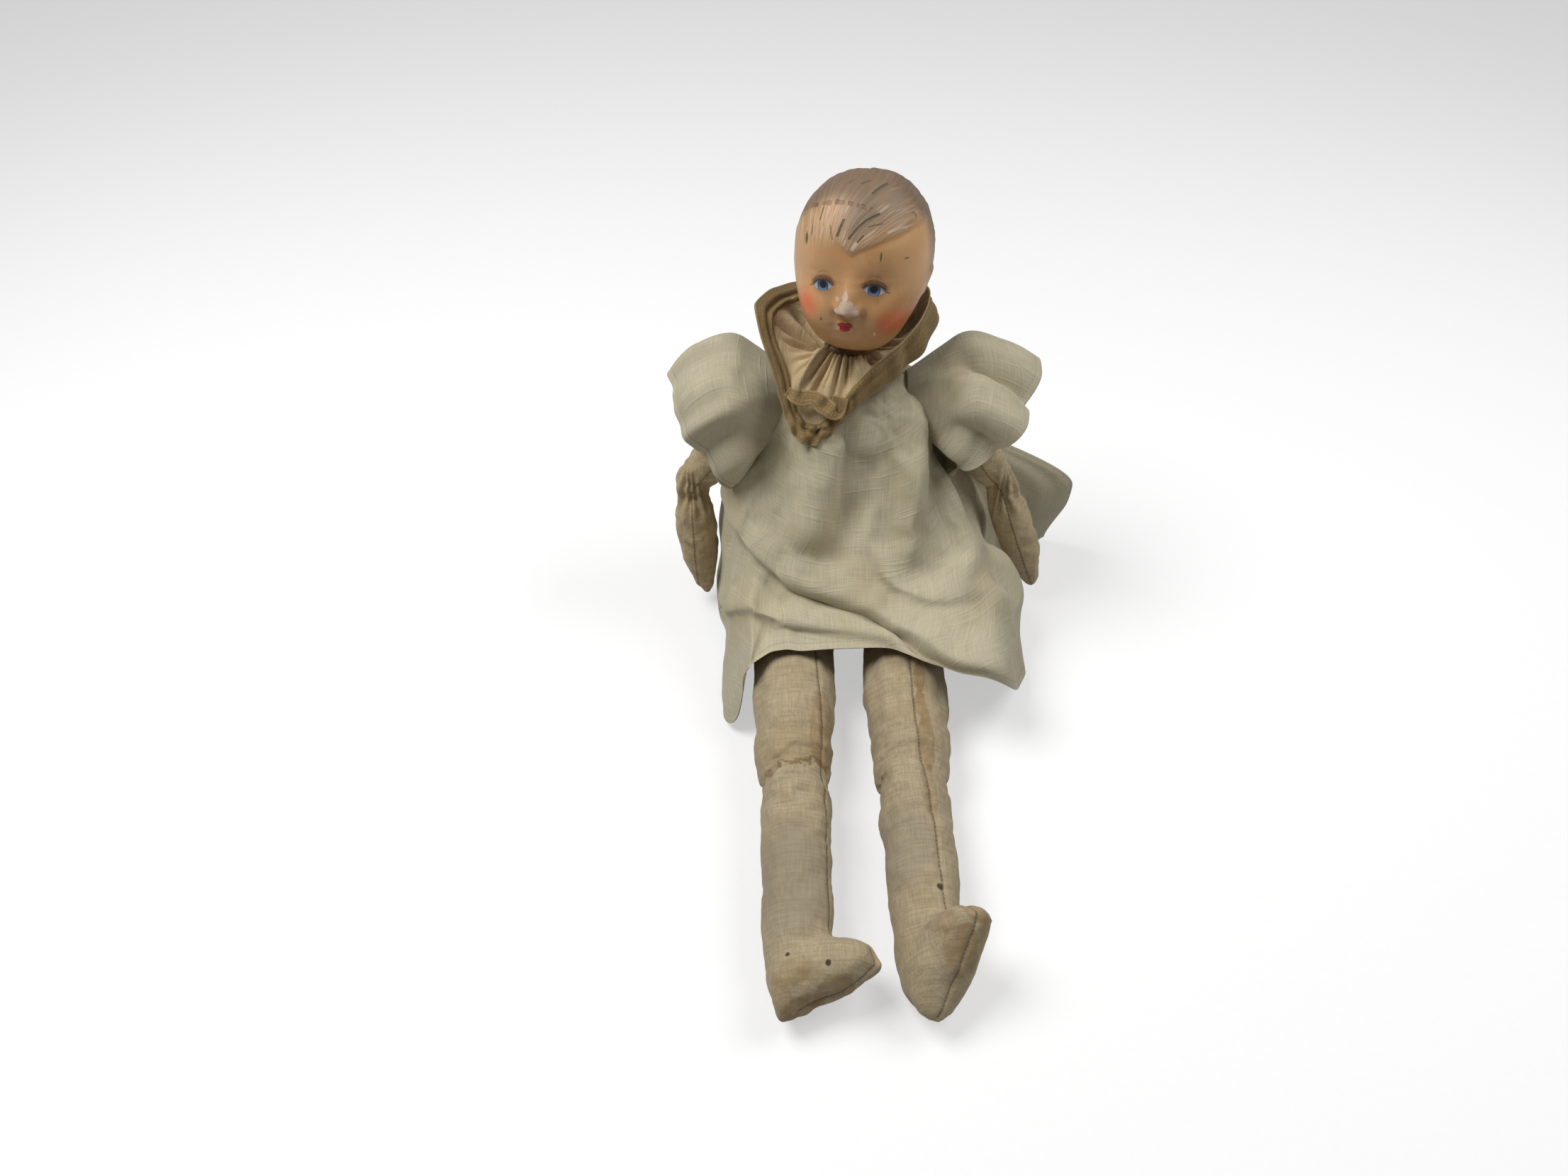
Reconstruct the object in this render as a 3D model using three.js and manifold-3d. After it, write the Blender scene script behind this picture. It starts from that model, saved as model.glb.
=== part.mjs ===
// A seated cloth doll: painted head on a tied flange neck, stuffed body and limbs with
// stitched joints, linen smock with soft sleeves, and a pleated collar with a bound edge.
// Millimetres, +Z up, the doll faces -Y and its left is +X. The origin is the middle of
// the flat it sits on.
import * as THREE from "three";
import { mergeVertices } from "three/addons/utils/BufferGeometryUtils.js";
import Module from "manifold-3d";

// Cloth, thread and fits
const CASING = 1.2; // casing cloth with its turned seam
const FIT = 0.3; // gap between pieces that touch
const SEAM_GAP = 0.3; // between the two panels of a casing
const THREAD_RADIUS = 0.7;
const FLOOR_GAP = 0.3; // under the legs and feet

// Torso
const SEAT_WIDTH = 88;
const SEAT_LENGTH = 44;
const HIP_WIDTH = 102;
const HIP_DEPTH = 65;
const HIP_HEIGHT = 20; // of the stitched hip line above the floor
const HIP_FORWARD = 34; // of the stitched hip line before the seat's middle
const BELLY_WIDTH = 100;
const BELLY_DEPTH = 71;
const BELLY_HEIGHT = 60;
const BELLY_SHIFT = -4.5; // of its middle along Y
const CHEST_WIDTH = 90;
const CHEST_DEPTH = 53;
const CHEST_SHIFT = 9.5;
const SHOULDER_WIDTH = 84;
const SHOULDER_DEPTH = 47;
const SHOULDER_SHIFT = 12.5;
const SHOULDER_DROP = 9; // of the shoulder line below the top
const CHEST_DROP = 20;
const TORSO_HEIGHT = 155;
const TOP_WIDTH = 54;
const TOP_DEPTH = 37;
const TOP_SHIFT = 15;
const SIDE_SEAM_Y = -12; // where the side seam meets the floor
const SIDE_SEAM_LEAN = 8; // degrees, backwards

// Neck and head
const NECK_RISE = 6; // of the neck's turning point above the torso
const NECK_LEAN = 11.7; // degrees, backwards
const NECK_TILT = 5; // degrees, to the doll's left
const NECK_BALL_RADIUS = 16.5;
const SOCKET_GAP = 0.6;
const HEAD_NECK_RADIUS = 12.5;
const FLANGE_LIP = 2.3;
const FLANGE_HEIGHT = 5.5; // above the turning point
const FLANGE_THICKNESS = 3;
const SLEEVE_TOP = 15;
const TIE_CORD_RADIUS = 1;
const HEAD_WIDTH = 73;
const HEAD_DEPTH = 84;
const HEAD_HEIGHT = 95;
const HEAD_WALL = 3;
const HEAD_RISE = 62; // of the head's middle above the turning point
const HEAD_TURN = -14; // degrees, to the doll's right
const HEAD_ROLL = -3.3; // degrees, of the face upright on its neck
const HEAD_SEAM_Y = 4;
const HAIR_RELIEF = 1.4;

// Arms: directions are degrees outwards from hanging and forwards
const ARM_WIDTH = 26.5;
const SHOULDER_BALL_RADIUS = 12;
const SHOULDER_SINK = 0.5; // of the ball into a dimple in the torso
const UPPER_ARM_LENGTH = 72.5;
const UPPER_ARM_OUT = 34;
const UPPER_ARM_FORWARD = 15;
const ELBOW_WIDTH = 23;
const FOREARM_LENGTH = 80;
const FOREARM_FORWARD = 6;
const FOREARM_OUT = { left: 22, right: -3 };
const SHOULDER_THREAD_REACH = 8; // into the torso and into the arm

// Legs and feet
const LEG_LENGTH = 267;
const LEG_SPACING = 64;
const HIP_SEAM_WIDTH = 48;
const THIGH_WIDTH = 49;
const KNEE_WIDTH = 42.5;
const ANKLE_WIDTH = 36;
const FOOT_REACH = 40; // toe tip from the ankle's middle
const HEEL_REACH = 17.5;
const FOOT_THICKNESS = 34;
const TOE_TURN = { left: 31, right: 75 }; // degrees, both towards the doll's left
const TOE_LEAN = { left: 38, right: 20 }; // degrees, towards the shin

// Smock, sleeves and collar
const LINEN = 1.2;
const SMOCK_NECK_RADIUS = 21;
const SMOCK_NECK_RISE = 3.5; // above the torso
const SHOULDER_EASE = 4; // of the smock over the shoulders
const CHEST_EASE = 10;
const WAIST_EASE = 20;
const SKIRT_EASE = 26;
const FOLD_DEPTH = 3;
const LAP_EASE = 3; // over the thighs
const HEM_WIDTH = 158;
const HEM_FORWARD = 70; // of the front hem before the hip line
const HEM_BACK = 70;
const HEM_CLEARANCE = 6; // of the low hem above the floor
const HEM_TURN_DOWN = 12; // beside the thighs, from the lap to the low hem
const FRONT_CORNERS = 26; // of the hem before its middle
const HEM_SLACK = { right: 12, left: 10 }; // of the hem before the line of the lap
const LEFT_SPREAD = 34; // of the skirt beside the left thigh
const FLARE = 78; // of the smock behind the left arm
const ARMHOLE_EASE = 3; // round the arm
const SLEEVE_RADIUS = 38;
const SLEEVE_HEM_RADIUS = { left: 39.5, right: 35 };
const SLEEVE_HEM_REACH = { left: 18, right: 16 }; // outwards from the arm
const SLEEVE_HEM_SHARE = { left: 0.22, right: 0.31 }; // down the upper arm
const SLEEVE_HEM_TIP = { left: 43, right: 34 }; // degrees from upright
const COLLAR_GAUZE = 0.9;
const COLLAR_NECK_RADIUS = 18;
const COLLAR_STAND = 14; // of its gathers above the smock's neck
const COLLAR_FRONT_REACH = 40;
const COLLAR_SIDE_REACH = 36;
const COLLAR_RISE = 27; // of its free edge at the sides
const COLLAR_FALL = 28; // of its free edge in front
const COLLAR_PLEATS = 16;
const PLEAT_DEPTH = 3.2;
const BINDING_WIDTH = 9;
const BUTTON_RADIUS = 4.5;
const BUTTON_THICKNESS = 1.8;

// Facets
const PANEL_COLUMNS = 24; // of a smock panel
const PANEL_ROWS = 16;
const LIMB_SIDES = 10;
const TORSO_SIDES = 20;
const LATHE_SIDES = 16;
const SOCKET_SIDES = 20;

const wasm = await Module();
wasm.setup();

const rad = THREE.MathUtils.degToRad;
const { lerp, smoothstep } = THREE.MathUtils;
const sides = ["left", "right"];
const handed = { left: 1, right: -1 };

// Smooth values through rows of numbers, with t from 0 to 1
function along(rows, t) {
  const last = rows.length - 1;
  const k = Math.min(Math.floor(t * last), last - 1);
  const f = t * last - k;
  const row = (i) => rows[Math.max(0, Math.min(last, i))];
  const [a, c, d] = [row(k - 1), row(k + 1), row(k + 2)];
  return row(k).map((b, i) => {
    const slope = c[i] - a[i];
    const bend = 2 * a[i] - 5 * b + 4 * c[i] - d[i];
    const twist = 3 * (b - c[i]) + d[i] - a[i];
    return b + 0.5 * f * (slope + f * (bend + f * twist));
  });
}

// A closed primitive with each vertex moved by map, its faces turned to point out
function shaped(primitive, map) {
  const bare = new THREE.BufferGeometry();
  bare.setAttribute("position", primitive.getAttribute("position"));
  bare.setIndex(primitive.getIndex());
  const geometry = mergeVertices(bare, 1e-4);
  const position = geometry.getAttribute("position");
  const point = new THREE.Vector3();
  for (let i = 0; i < position.count; i += 1) {
    point.copy(map(point.fromBufferAttribute(position, i)));
    position.setXYZ(i, point.x, point.y, point.z);
  }
  return outward(geometry);
}

function outward(geometry) {
  const position = geometry.getAttribute("position");
  const index = geometry.getIndex().array;
  const corner = (i) => new THREE.Vector3().fromBufferAttribute(position, index[i]);
  let volume = 0;
  for (let i = 0; i < index.length; i += 3) {
    volume += corner(i).dot(corner(i + 1).cross(corner(i + 2)));
  }
  if (volume < 0) index.reverse();
  return geometry;
}

const same = (point) => point;

function solidOf(geometry) {
  const vertProperties = new Float32Array(geometry.getAttribute("position").array);
  const triVerts = new Uint32Array(geometry.getIndex().array);
  return new wasm.Manifold(new wasm.Mesh({ numProp: 3, vertProperties, triVerts }));
}

function geometryOf(solid) {
  const { vertProperties, triVerts } = solid.getMesh();
  const geometry = new THREE.BufferGeometry();
  geometry.setAttribute("position", new THREE.BufferAttribute(vertProperties, 3));
  geometry.setIndex(new THREE.BufferAttribute(triVerts, 1));
  return geometry;
}

// The half of space past a plane, big enough for any piece here
function halfSpace(normal, point, offset) {
  const size = 1200;
  const box = new THREE.BoxGeometry(size, size, size).translate(0, 0, size / 2 + offset);
  const turn = new THREE.Quaternion().setFromUnitVectors(new THREE.Vector3(0, 0, 1), normal);
  box.applyQuaternion(turn).translate(point.x, point.y, point.z);
  return solidOf(shaped(box, same));
}

// Both sides of a seam plane, with the seam's gap between them
function parted(solid, normal, point) {
  const back = normal.clone().negate();
  return [normal, back].map((n) => solid.intersect(halfSpace(n, point, SEAM_GAP / 2)));
}

// A stuffed piece from a function that gives its solid at an inset: two panels and the stuffing
function stuffed(form, normal, point, cuts = []) {
  const cut = (solid) => cuts.reduce((left, tool) => left.subtract(tool), solid);
  const [ahead, behind] = parted(cut(form(0).subtract(form(CASING))), normal, point);
  return { ahead, behind, stuffing: cut(form(CASING + FIT)) };
}

const doll = new THREE.Group();
doll.name = "art_doll";

const colours = {
  skin: { color: 0xe0b08c, roughness: 0.35 },
  hair: { color: 0x8d7f7c, roughness: 0.45 },
  muslin: { color: 0xb89872, roughness: 0.95 },
  stuffing: { color: 0xd9cdb4, roughness: 1 },
  linen: { color: 0xd8cfba, roughness: 0.95 },
  gauze: { color: 0xb3a58c, roughness: 0.95 },
  tape: { color: 0x8a6a45, roughness: 0.9 },
  thread: { color: 0xa98c63, roughness: 0.9 },
  shell: { color: 0xe8e0d0, roughness: 0.4 },
};

function addPiece(group, name, shape, look) {
  const geometry = shape.isBufferGeometry ? shape : geometryOf(shape);
  const material = new THREE.MeshStandardMaterial({ metalness: 0, ...colours[look] });
  const mesh = new THREE.Mesh(geometry, material);
  mesh.name = name;
  group.add(mesh);
  return mesh;
}

function addGroup(position, x = 0, y = 0, z = 0) {
  const group = new THREE.Group();
  group.position.copy(position);
  group.rotation.set(rad(x), rad(y), rad(z));
  doll.add(group);
  return group;
}

// A round or flattened tube along -Z: rows of distance, half width, half thickness and set-back.
// shear tilts its start and end so that their stitched edges lie along X.
function limb(rows, inset, shear = { start: 0, end: 0 }) {
  const [first, last] = [rows[0][0], rows[rows.length - 1][0]];
  const shorten = (last - first - 3 * inset) / (last - first);
  const tube = new THREE.CylinderGeometry(1, 1, 1, LIMB_SIDES, rows.length - 1);
  const inside = (half) => Math.max(half - inset, half / 4);
  const map = (point) => {
    const t = 0.5 - point.y;
    const [distance, halfWidth, halfThickness, setBack] = along(rows, t);
    const x = point.x * inside(halfWidth);
    const drop = (first + last) / 2 + (distance - (first + last) / 2) * shorten;
    const tilt = shear.start * (1 - smoothstep(t, 0, 0.5)) + shear.end * smoothstep(t, 0.5, 1);
    return new THREE.Vector3(x, setBack + point.z * inside(halfThickness), tilt * x - drop);
  };
  return solidOf(shaped(tube, map));
}

// A thread along X
function threadAlongX(from, to, radius, y, z) {
  const rod = new THREE.CylinderGeometry(radius, radius, Math.abs(to - from), 8);
  return shaped(rod.rotateZ(Math.PI / 2).translate((from + to) / 2, y, z), same);
}

function ball(radius, centre) {
  const sphere = new THREE.SphereGeometry(radius, SOCKET_SIDES, SOCKET_SIDES / 2);
  return solidOf(shaped(sphere.translate(centre.x, centre.y, centre.z), same));
}

// Torso: rows of height, half width, front, back and squareness
const hipY = -HIP_FORWARD;
const hipFront = hipY + THREAD_RADIUS + FIT;
const torsoRow = (height, width, depth, shift, square) => [
  height,
  width / 2,
  shift - depth / 2,
  shift + depth / 2,
  square,
];
const shoulderZ = TORSO_HEIGHT - SHOULDER_DROP;
const torsoRows = [
  torsoRow(0, SEAT_WIDTH, SEAT_LENGTH, 0, 4),
  torsoRow(HIP_HEIGHT, HIP_WIDTH, HIP_DEPTH, hipFront + HIP_DEPTH / 2, 4.5),
  torsoRow(BELLY_HEIGHT, BELLY_WIDTH, BELLY_DEPTH, BELLY_SHIFT, 3),
  torsoRow(TORSO_HEIGHT - CHEST_DROP, CHEST_WIDTH, CHEST_DEPTH, CHEST_SHIFT, 2.6),
  torsoRow(shoulderZ, SHOULDER_WIDTH, SHOULDER_DEPTH, SHOULDER_SHIFT, 2.4),
  torsoRow(TORSO_HEIGHT, TOP_WIDTH, TOP_DEPTH, TOP_SHIFT, 2.2),
];
const signedPower = (value, power) => Math.sign(value) * Math.abs(value) ** power;

function torsoForm(inset) {
  const tube = new THREE.CylinderGeometry(1, 1, 1, TORSO_SIDES, 2 * (torsoRows.length - 1));
  const map = (point) => {
    const [height, half, front, back, square] = along(torsoRows, point.y + 0.5);
    const across = Math.hypot(point.x, point.z);
    const turn = Math.atan2(point.x, -point.z);
    const x = across * signedPower(Math.sin(turn), 2 / square) * (half - inset);
    const depth = (back - front) / 2 - inset;
    const y = (front + back) / 2 - across * signedPower(Math.cos(turn), 2 / square) * depth;
    const raised = inset + (height * (TORSO_HEIGHT - 2 * inset)) / TORSO_HEIGHT;
    return new THREE.Vector3(x, y, raised);
  };
  return solidOf(shaped(tube, map));
}

const neckPoint = new THREE.Vector3(0, TOP_SHIFT, TORSO_HEIGHT + NECK_RISE);
const shoulderX = SHOULDER_WIDTH / 2 + SHOULDER_BALL_RADIUS - SHOULDER_SINK;
const shoulderPoint = (side) =>
  new THREE.Vector3(handed[side] * shoulderX, SHOULDER_SHIFT, shoulderZ);
const threadHole = THREAD_RADIUS + FIT;
const threadEnds = sides.map((side) => [
  handed[side] * (SHOULDER_WIDTH / 2 - SHOULDER_THREAD_REACH),
  handed[side] * (SHOULDER_WIDTH / 2 + SHOULDER_THREAD_REACH),
]);
const holeEnds = threadEnds.map(([inner, outer]) => [
  inner - Math.sign(inner) * FIT,
  outer + Math.sign(outer) * FIT,
]);
const threadHoles = holeEnds.map(([inner, outer]) =>
  solidOf(threadAlongX(inner, outer, threadHole, SHOULDER_SHIFT, shoulderZ)),
);

function buildTorso() {
  const dimples = sides.map((side) => ball(SHOULDER_BALL_RADIUS + SOCKET_GAP, shoulderPoint(side)));
  const socket = ball(NECK_BALL_RADIUS + SOCKET_GAP, neckPoint);
  const lean = rad(SIDE_SEAM_LEAN);
  const normal = new THREE.Vector3(0, -Math.cos(lean), Math.sin(lean));
  const seamFoot = new THREE.Vector3(0, SIDE_SEAM_Y, 0);
  const torso = stuffed(torsoForm, normal, seamFoot, [socket, ...dimples, ...threadHoles]);
  addPiece(doll, "torso_front_panel", torso.ahead, "muslin");
  addPiece(doll, "torso_back_panel", torso.behind, "muslin");
  addPiece(doll, "torso_stuffing", torso.stuffing, "stuffing");
}

// Neck: a cloth sleeve on a ball of stuffing, drawn in above the head's flange
const sleeveInner = NECK_BALL_RADIUS - CASING;
const flangeRadius = HEAD_NECK_RADIUS + FLANGE_LIP;
const flangeTop = FLANGE_HEIGHT + FLANGE_THICKNESS;
const drawnInner = HEAD_NECK_RADIUS + FIT;
const drawnOuter = drawnInner + CASING;
const SLEEVE_OPEN = 50; // degrees below the ball's middle where the sleeve starts

function turned(points) {
  const lathe = new THREE.LatheGeometry(points, LATHE_SIDES).rotateX(Math.PI / 2);
  return shaped(lathe, same);
}

function arc(radius, from, to, steps) {
  return Array.from({ length: steps + 1 }, (_, i) => {
    const angle = rad(lerp(from, to, i / steps));
    return new THREE.Vector2(radius * Math.cos(angle), radius * Math.sin(angle));
  });
}

function buildNeck(neck) {
  const at = (radius, height) => new THREE.Vector2(radius, height);
  const outer = [
    ...arc(NECK_BALL_RADIUS, -SLEEVE_OPEN, 0, 4),
    at(NECK_BALL_RADIUS, flangeTop),
    at(drawnOuter, flangeTop + FIT + CASING),
    at(drawnOuter, SLEEVE_TOP),
  ];
  const inner = [
    at(drawnInner, SLEEVE_TOP),
    at(drawnInner, flangeTop + FIT),
    at(sleeveInner, flangeTop + FIT),
    ...arc(sleeveInner, 0, -SLEEVE_OPEN, 4),
  ];
  addPiece(neck, "neck_sleeve", turned([...outer, ...inner, outer[0]]), "muslin");

  const padRadius = sleeveInner - FIT;
  const padTop = FLANGE_HEIGHT - FIT;
  const pad = [...arc(padRadius, -90, 0, 6), at(padRadius, padTop), at(0, padTop)];
  pad[0].x = 0;
  addPiece(neck, "neck_stuffing", turned(pad), "stuffing");

  const ring = drawnOuter + FIT + TIE_CORD_RADIUS;
  const cord = new THREE.TorusGeometry(ring, TIE_CORD_RADIUS, 6, LATHE_SIDES);
  cord.translate(0, 0, SLEEVE_TOP - 2 * TIE_CORD_RADIUS);
  addPiece(neck, "neck_tie_cord", shaped(cord, same), "thread");
}

// Head: a full-cheeked egg with raised and sunk places, each a turn and a height on the face
// in degrees, its spread both ways and its relief as a share of the head's width
const faceRelief = [
  { turn: 0, height: -16, wide: 6, tall: 6, relief: 0.075 },
  { turn: 0, height: -6, wide: 5, tall: 8, relief: 0.02 },
  { turn: 0, height: -62, wide: 16, tall: 9, relief: 0.041 },
  { turn: 0, height: -37, wide: 9, tall: 4, relief: 0.022 },
  { turn: 0, height: -44, wide: 8, tall: 3.5, relief: 0.016 },
  { turn: 28, height: -30, wide: 13, tall: 12, relief: 0.036 },
  { turn: -28, height: -30, wide: 13, tall: 12, relief: 0.036 },
  { turn: 21, height: -4, wide: 9, tall: 6, relief: -0.025 },
  { turn: -21, height: -4, wide: 9, tall: 6, relief: -0.025 },
  { turn: 92, height: -12, wide: 7, tall: 10, relief: 0.055 },
  { turn: -92, height: -12, wide: 7, tall: 10, relief: 0.055 },
];
const HAIR_LINE = 26; // degrees up the forehead
const HAIR_LINE_FALL = 55; // degrees lower at the ears

function headRadius(direction) {
  const turn = THREE.MathUtils.radToDeg(Math.atan2(direction.x, -direction.y));
  const height = THREE.MathUtils.radToDeg(Math.asin(THREE.MathUtils.clamp(direction.z, -1, 1)));
  const full = 2 + 0.55 * smoothstep(-direction.z, 0, 0.5);
  const jaw = 1 - 0.05 * smoothstep(-height, 0, 60);
  const across = Math.abs(direction.x) / ((HEAD_WIDTH / 2) * jaw);
  const deep = Math.abs(direction.y) / (HEAD_DEPTH / 2);
  const tall = Math.abs(direction.z) / (HEAD_HEIGHT / 2);
  const round = (across ** full + deep ** full + tall ** full) ** (-1 / full);
  const under = smoothstep(-direction.z, 0.55, 0.95) * smoothstep(direction.y, -0.45, 0.05);
  const nape = smoothstep(-direction.z, 0.2, 0.8) * smoothstep(direction.y, 0.2, 0.8);
  const egg = (1 - 0.2 * under - 0.1 * nape) * round;
  const hairLine = HAIR_LINE - HAIR_LINE_FALL * smoothstep(Math.abs(turn), 30, 110);
  const hair = HAIR_RELIEF * smoothstep(height, hairLine - 3, hairLine + 3);
  const relief = faceRelief.reduce((sum, place) => {
    const aside = (turn - place.turn) / place.wide;
    const above = (height - place.height) / place.tall;
    return sum + HEAD_WIDTH * place.relief * Math.exp(-(aside ** 2 + above ** 2) / 2);
  }, hair);
  return egg + relief;
}

function headForm(inset, around, rings) {
  const map = (point) => {
    const direction = new THREE.Vector3(point.x, -point.z, point.y).normalize();
    const out = direction.clone().multiplyScalar(headRadius(direction) - inset);
    out.applyAxisAngle(new THREE.Vector3(0, 1, 0), rad(HEAD_ROLL));
    return out.add(new THREE.Vector3(0, 0, HEAD_RISE));
  };
  return solidOf(shaped(new THREE.SphereGeometry(1, around, rings), map));
}

function buildHead(head) {
  const intoHead = HEAD_RISE - HEAD_HEIGHT / 4;
  const at = (radius, height) => new THREE.Vector2(radius, height);
  const stem = turned([
    at(0, FLANGE_HEIGHT),
    at(flangeRadius, FLANGE_HEIGHT),
    at(flangeRadius, flangeTop),
    at(HEAD_NECK_RADIUS, flangeTop),
    at(HEAD_NECK_RADIUS, intoHead),
    at(0, intoHead),
  ]);
  const boreRadius = HEAD_NECK_RADIUS - HEAD_WALL;
  const bore = new THREE.CylinderGeometry(boreRadius, boreRadius, intoHead, LATHE_SIDES);
  bore.rotateX(Math.PI / 2).translate(0, 0, intoHead / 2 + FLANGE_HEIGHT - HEAD_WALL);
  const outer = headForm(0, 28, 18).add(solidOf(stem));
  const hollow = headForm(HEAD_WALL, 14, 9).add(solidOf(shaped(bore, same)));
  const seam = new THREE.Vector3(0, HEAD_SEAM_Y, 0);
  const [front, back] = parted(outer.subtract(hollow), new THREE.Vector3(0, -1, 0), seam);
  addPiece(head, "head_front_half", front, "skin");
  addPiece(head, "head_back_half", back, "hair");
}

function buildHeadAndNeck() {
  const neck = addGroup(neckPoint, -NECK_LEAN, NECK_TILT);
  buildNeck(neck);
  const head = new THREE.Group();
  head.rotation.z = rad(HEAD_TURN);
  neck.add(head);
  buildHead(head);
}

// Arms
const armHalf = ARM_WIDTH / 2;
const elbowHalf = ELBOW_WIDTH / 2;
const edgeGap = THREAD_RADIUS + FIT; // from a hinge line to the stitched edges beside it
const EDGE_HALF = 0.6; // half thickness of a flat stitched edge

function upperArmRows() {
  const r = SHOULDER_BALL_RADIUS;
  const end = UPPER_ARM_LENGTH - edgeGap;
  const rows = arc(r, -86, 0, 3).map(({ x, y }) => [y, x, x, 0]);
  return [
    ...rows,
    [0.28 * end, armHalf, armHalf, 0],
    [end - ARM_WIDTH, armHalf, armHalf, 0],
    [end - 0.52 * ARM_WIDTH, armHalf, 0.78 * armHalf, 0],
    [end - 0.22 * ARM_WIDTH, lerp(armHalf, elbowHalf, 0.5), 0.4 * armHalf, 0],
    [end, elbowHalf, EDGE_HALF, 0],
  ];
}

function forearmRows() {
  const wrist = 0.68 * armHalf;
  return [
    [edgeGap, elbowHalf, EDGE_HALF, 0],
    [edgeGap + 0.26 * ARM_WIDTH, lerp(armHalf, elbowHalf, 0.5), 0.45 * armHalf, 0],
    [edgeGap + 0.57 * ARM_WIDTH, armHalf, 0.85 * armHalf, 0],
    [0.4 * FOREARM_LENGTH, armHalf, 0.96 * armHalf, 0],
    [0.62 * FOREARM_LENGTH, 0.92 * armHalf, 0.86 * armHalf, 0],
    [0.8 * FOREARM_LENGTH, wrist, wrist, 0],
    [0.92 * FOREARM_LENGTH, 0.45 * armHalf, 0.45 * armHalf, 0],
    [FOREARM_LENGTH, 0.16 * armHalf, 0.16 * armHalf, 0],
  ];
}

function addStuffedLimb(group, name, limbParts, names) {
  addPiece(group, `${name}_${names[0]}`, limbParts.ahead, "muslin");
  addPiece(group, `${name}_${names[1]}`, limbParts.behind, "muslin");
  addPiece(group, `${name}_stuffing`, limbParts.stuffing, "stuffing");
}

// Where a point on a limb's own axis lies in the doll's frame
function reach(start, length, out, forward) {
  const turn = new THREE.Euler(rad(-forward), rad(-out), 0);
  return new THREE.Vector3(0, 0, -length).applyEuler(turn).add(start);
}

const upperArmTurn = (side) => [-UPPER_ARM_FORWARD, -handed[side] * UPPER_ARM_OUT];

function upperArmPlace(side) {
  const [x, y] = upperArmTurn(side).map(rad);
  const turn = new THREE.Matrix4().makeRotationFromEuler(new THREE.Euler(x, y, 0));
  return turn.setPosition(shoulderPoint(side));
}

function upperArmForm(side, inset) {
  const shear = { start: 0, end: -Math.tan(rad(handed[side] * UPPER_ARM_OUT)) };
  return limb(upperArmRows(), inset, shear);
}

function buildArm(side, index) {
  const hand = handed[side];
  const front = new THREE.Vector3(0, -1, 0);
  const middle = new THREE.Vector3();
  const upperOut = hand * UPPER_ARM_OUT;
  const upper = addGroup(shoulderPoint(side), ...upperArmTurn(side));
  const hole = threadAlongX(...holeEnds[index], threadHole, SHOULDER_SHIFT, shoulderZ);
  const localHole = solidOf(hole.applyMatrix4(upperArmPlace(side).invert()));
  const upperForm = (inset) => upperArmForm(side, inset);
  const upperParts = stuffed(upperForm, front, middle, [localHole]);
  addStuffedLimb(upper, `upper_arm_${side}`, upperParts, ["front_panel", "back_panel"]);
  const thread = threadAlongX(...threadEnds[index], THREAD_RADIUS, SHOULDER_SHIFT, shoulderZ);
  addPiece(doll, `shoulder_thread_${side}`, thread, "thread");

  const elbow = reach(shoulderPoint(side), UPPER_ARM_LENGTH, upperOut, UPPER_ARM_FORWARD);
  const foreOut = hand * FOREARM_OUT[side];
  const fore = addGroup(elbow, -FOREARM_FORWARD, -foreOut);
  const foreShear = { start: -Math.tan(rad(foreOut)), end: 0 };
  const foreForm = (inset) => limb(forearmRows(), inset, foreShear);
  addStuffedLimb(fore, `forearm_${side}`, stuffed(foreForm, front, middle), ["front_panel", "back_panel"]);
  const stitch = threadAlongX(elbow.x - elbowHalf, elbow.x + elbowHalf, THREAD_RADIUS, elbow.y, elbow.z);
  addPiece(doll, `elbow_stitch_${side}`, stitch, "thread");
}

// Legs: the seated leg lies along -Y, so its rows run down a hanging leg turned forwards
const restHeight = HIP_HEIGHT - FLOOR_GAP;
const onFloor = (distance, width) => [distance, width / 2, width / 2, restHeight - width / 2];

function legRows() {
  const wide = HIP_SEAM_WIDTH;
  const half = wide / 2;
  return [
    [edgeGap, half, EDGE_HALF, 0],
    [edgeGap + 0.19 * wide, half, 0.125 * wide, -0.02 * wide],
    [edgeGap + 0.44 * wide, half, 0.29 * wide, -0.05 * wide],
    [edgeGap + 0.81 * wide, half, 0.47 * THIGH_WIDTH, restHeight - THIGH_WIDTH / 2],
    onFloor(0.3 * LEG_LENGTH, THIGH_WIDTH),
    onFloor(0.52 * LEG_LENGTH, KNEE_WIDTH),
    onFloor(0.75 * LEG_LENGTH, lerp(KNEE_WIDTH, ANKLE_WIDTH, 0.6)),
    onFloor(0.9 * LEG_LENGTH, ANKLE_WIDTH),
    onFloor(0.97 * LEG_LENGTH, 0.85 * ANKLE_WIDTH),
    onFloor(LEG_LENGTH, 0.4 * ANKLE_WIDTH),
  ];
}

// Rows along the foot from heel to toe: their set-back is the distance below the ankle's middle
function footRows() {
  const half = ANKLE_WIDTH / 2;
  const thick = FOOT_THICKNESS / 2;
  const sole = half + FOOT_THICKNESS / 8;
  const row = (along, wide, tall) => [along, wide * half, tall * thick, sole - tall * thick];
  return [
    row(-HEEL_REACH, 0.25, 0.3),
    row(-0.7 * HEEL_REACH, 0.75, 0.75),
    row(0, 1, 1),
    row(0.37 * FOOT_REACH, 0.95, 0.88),
    row(0.68 * FOOT_REACH, 0.82, 0.7),
    row(0.9 * FOOT_REACH, 0.56, 0.48),
    row(FOOT_REACH, 0.17, 0.16),
  ];
}

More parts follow.
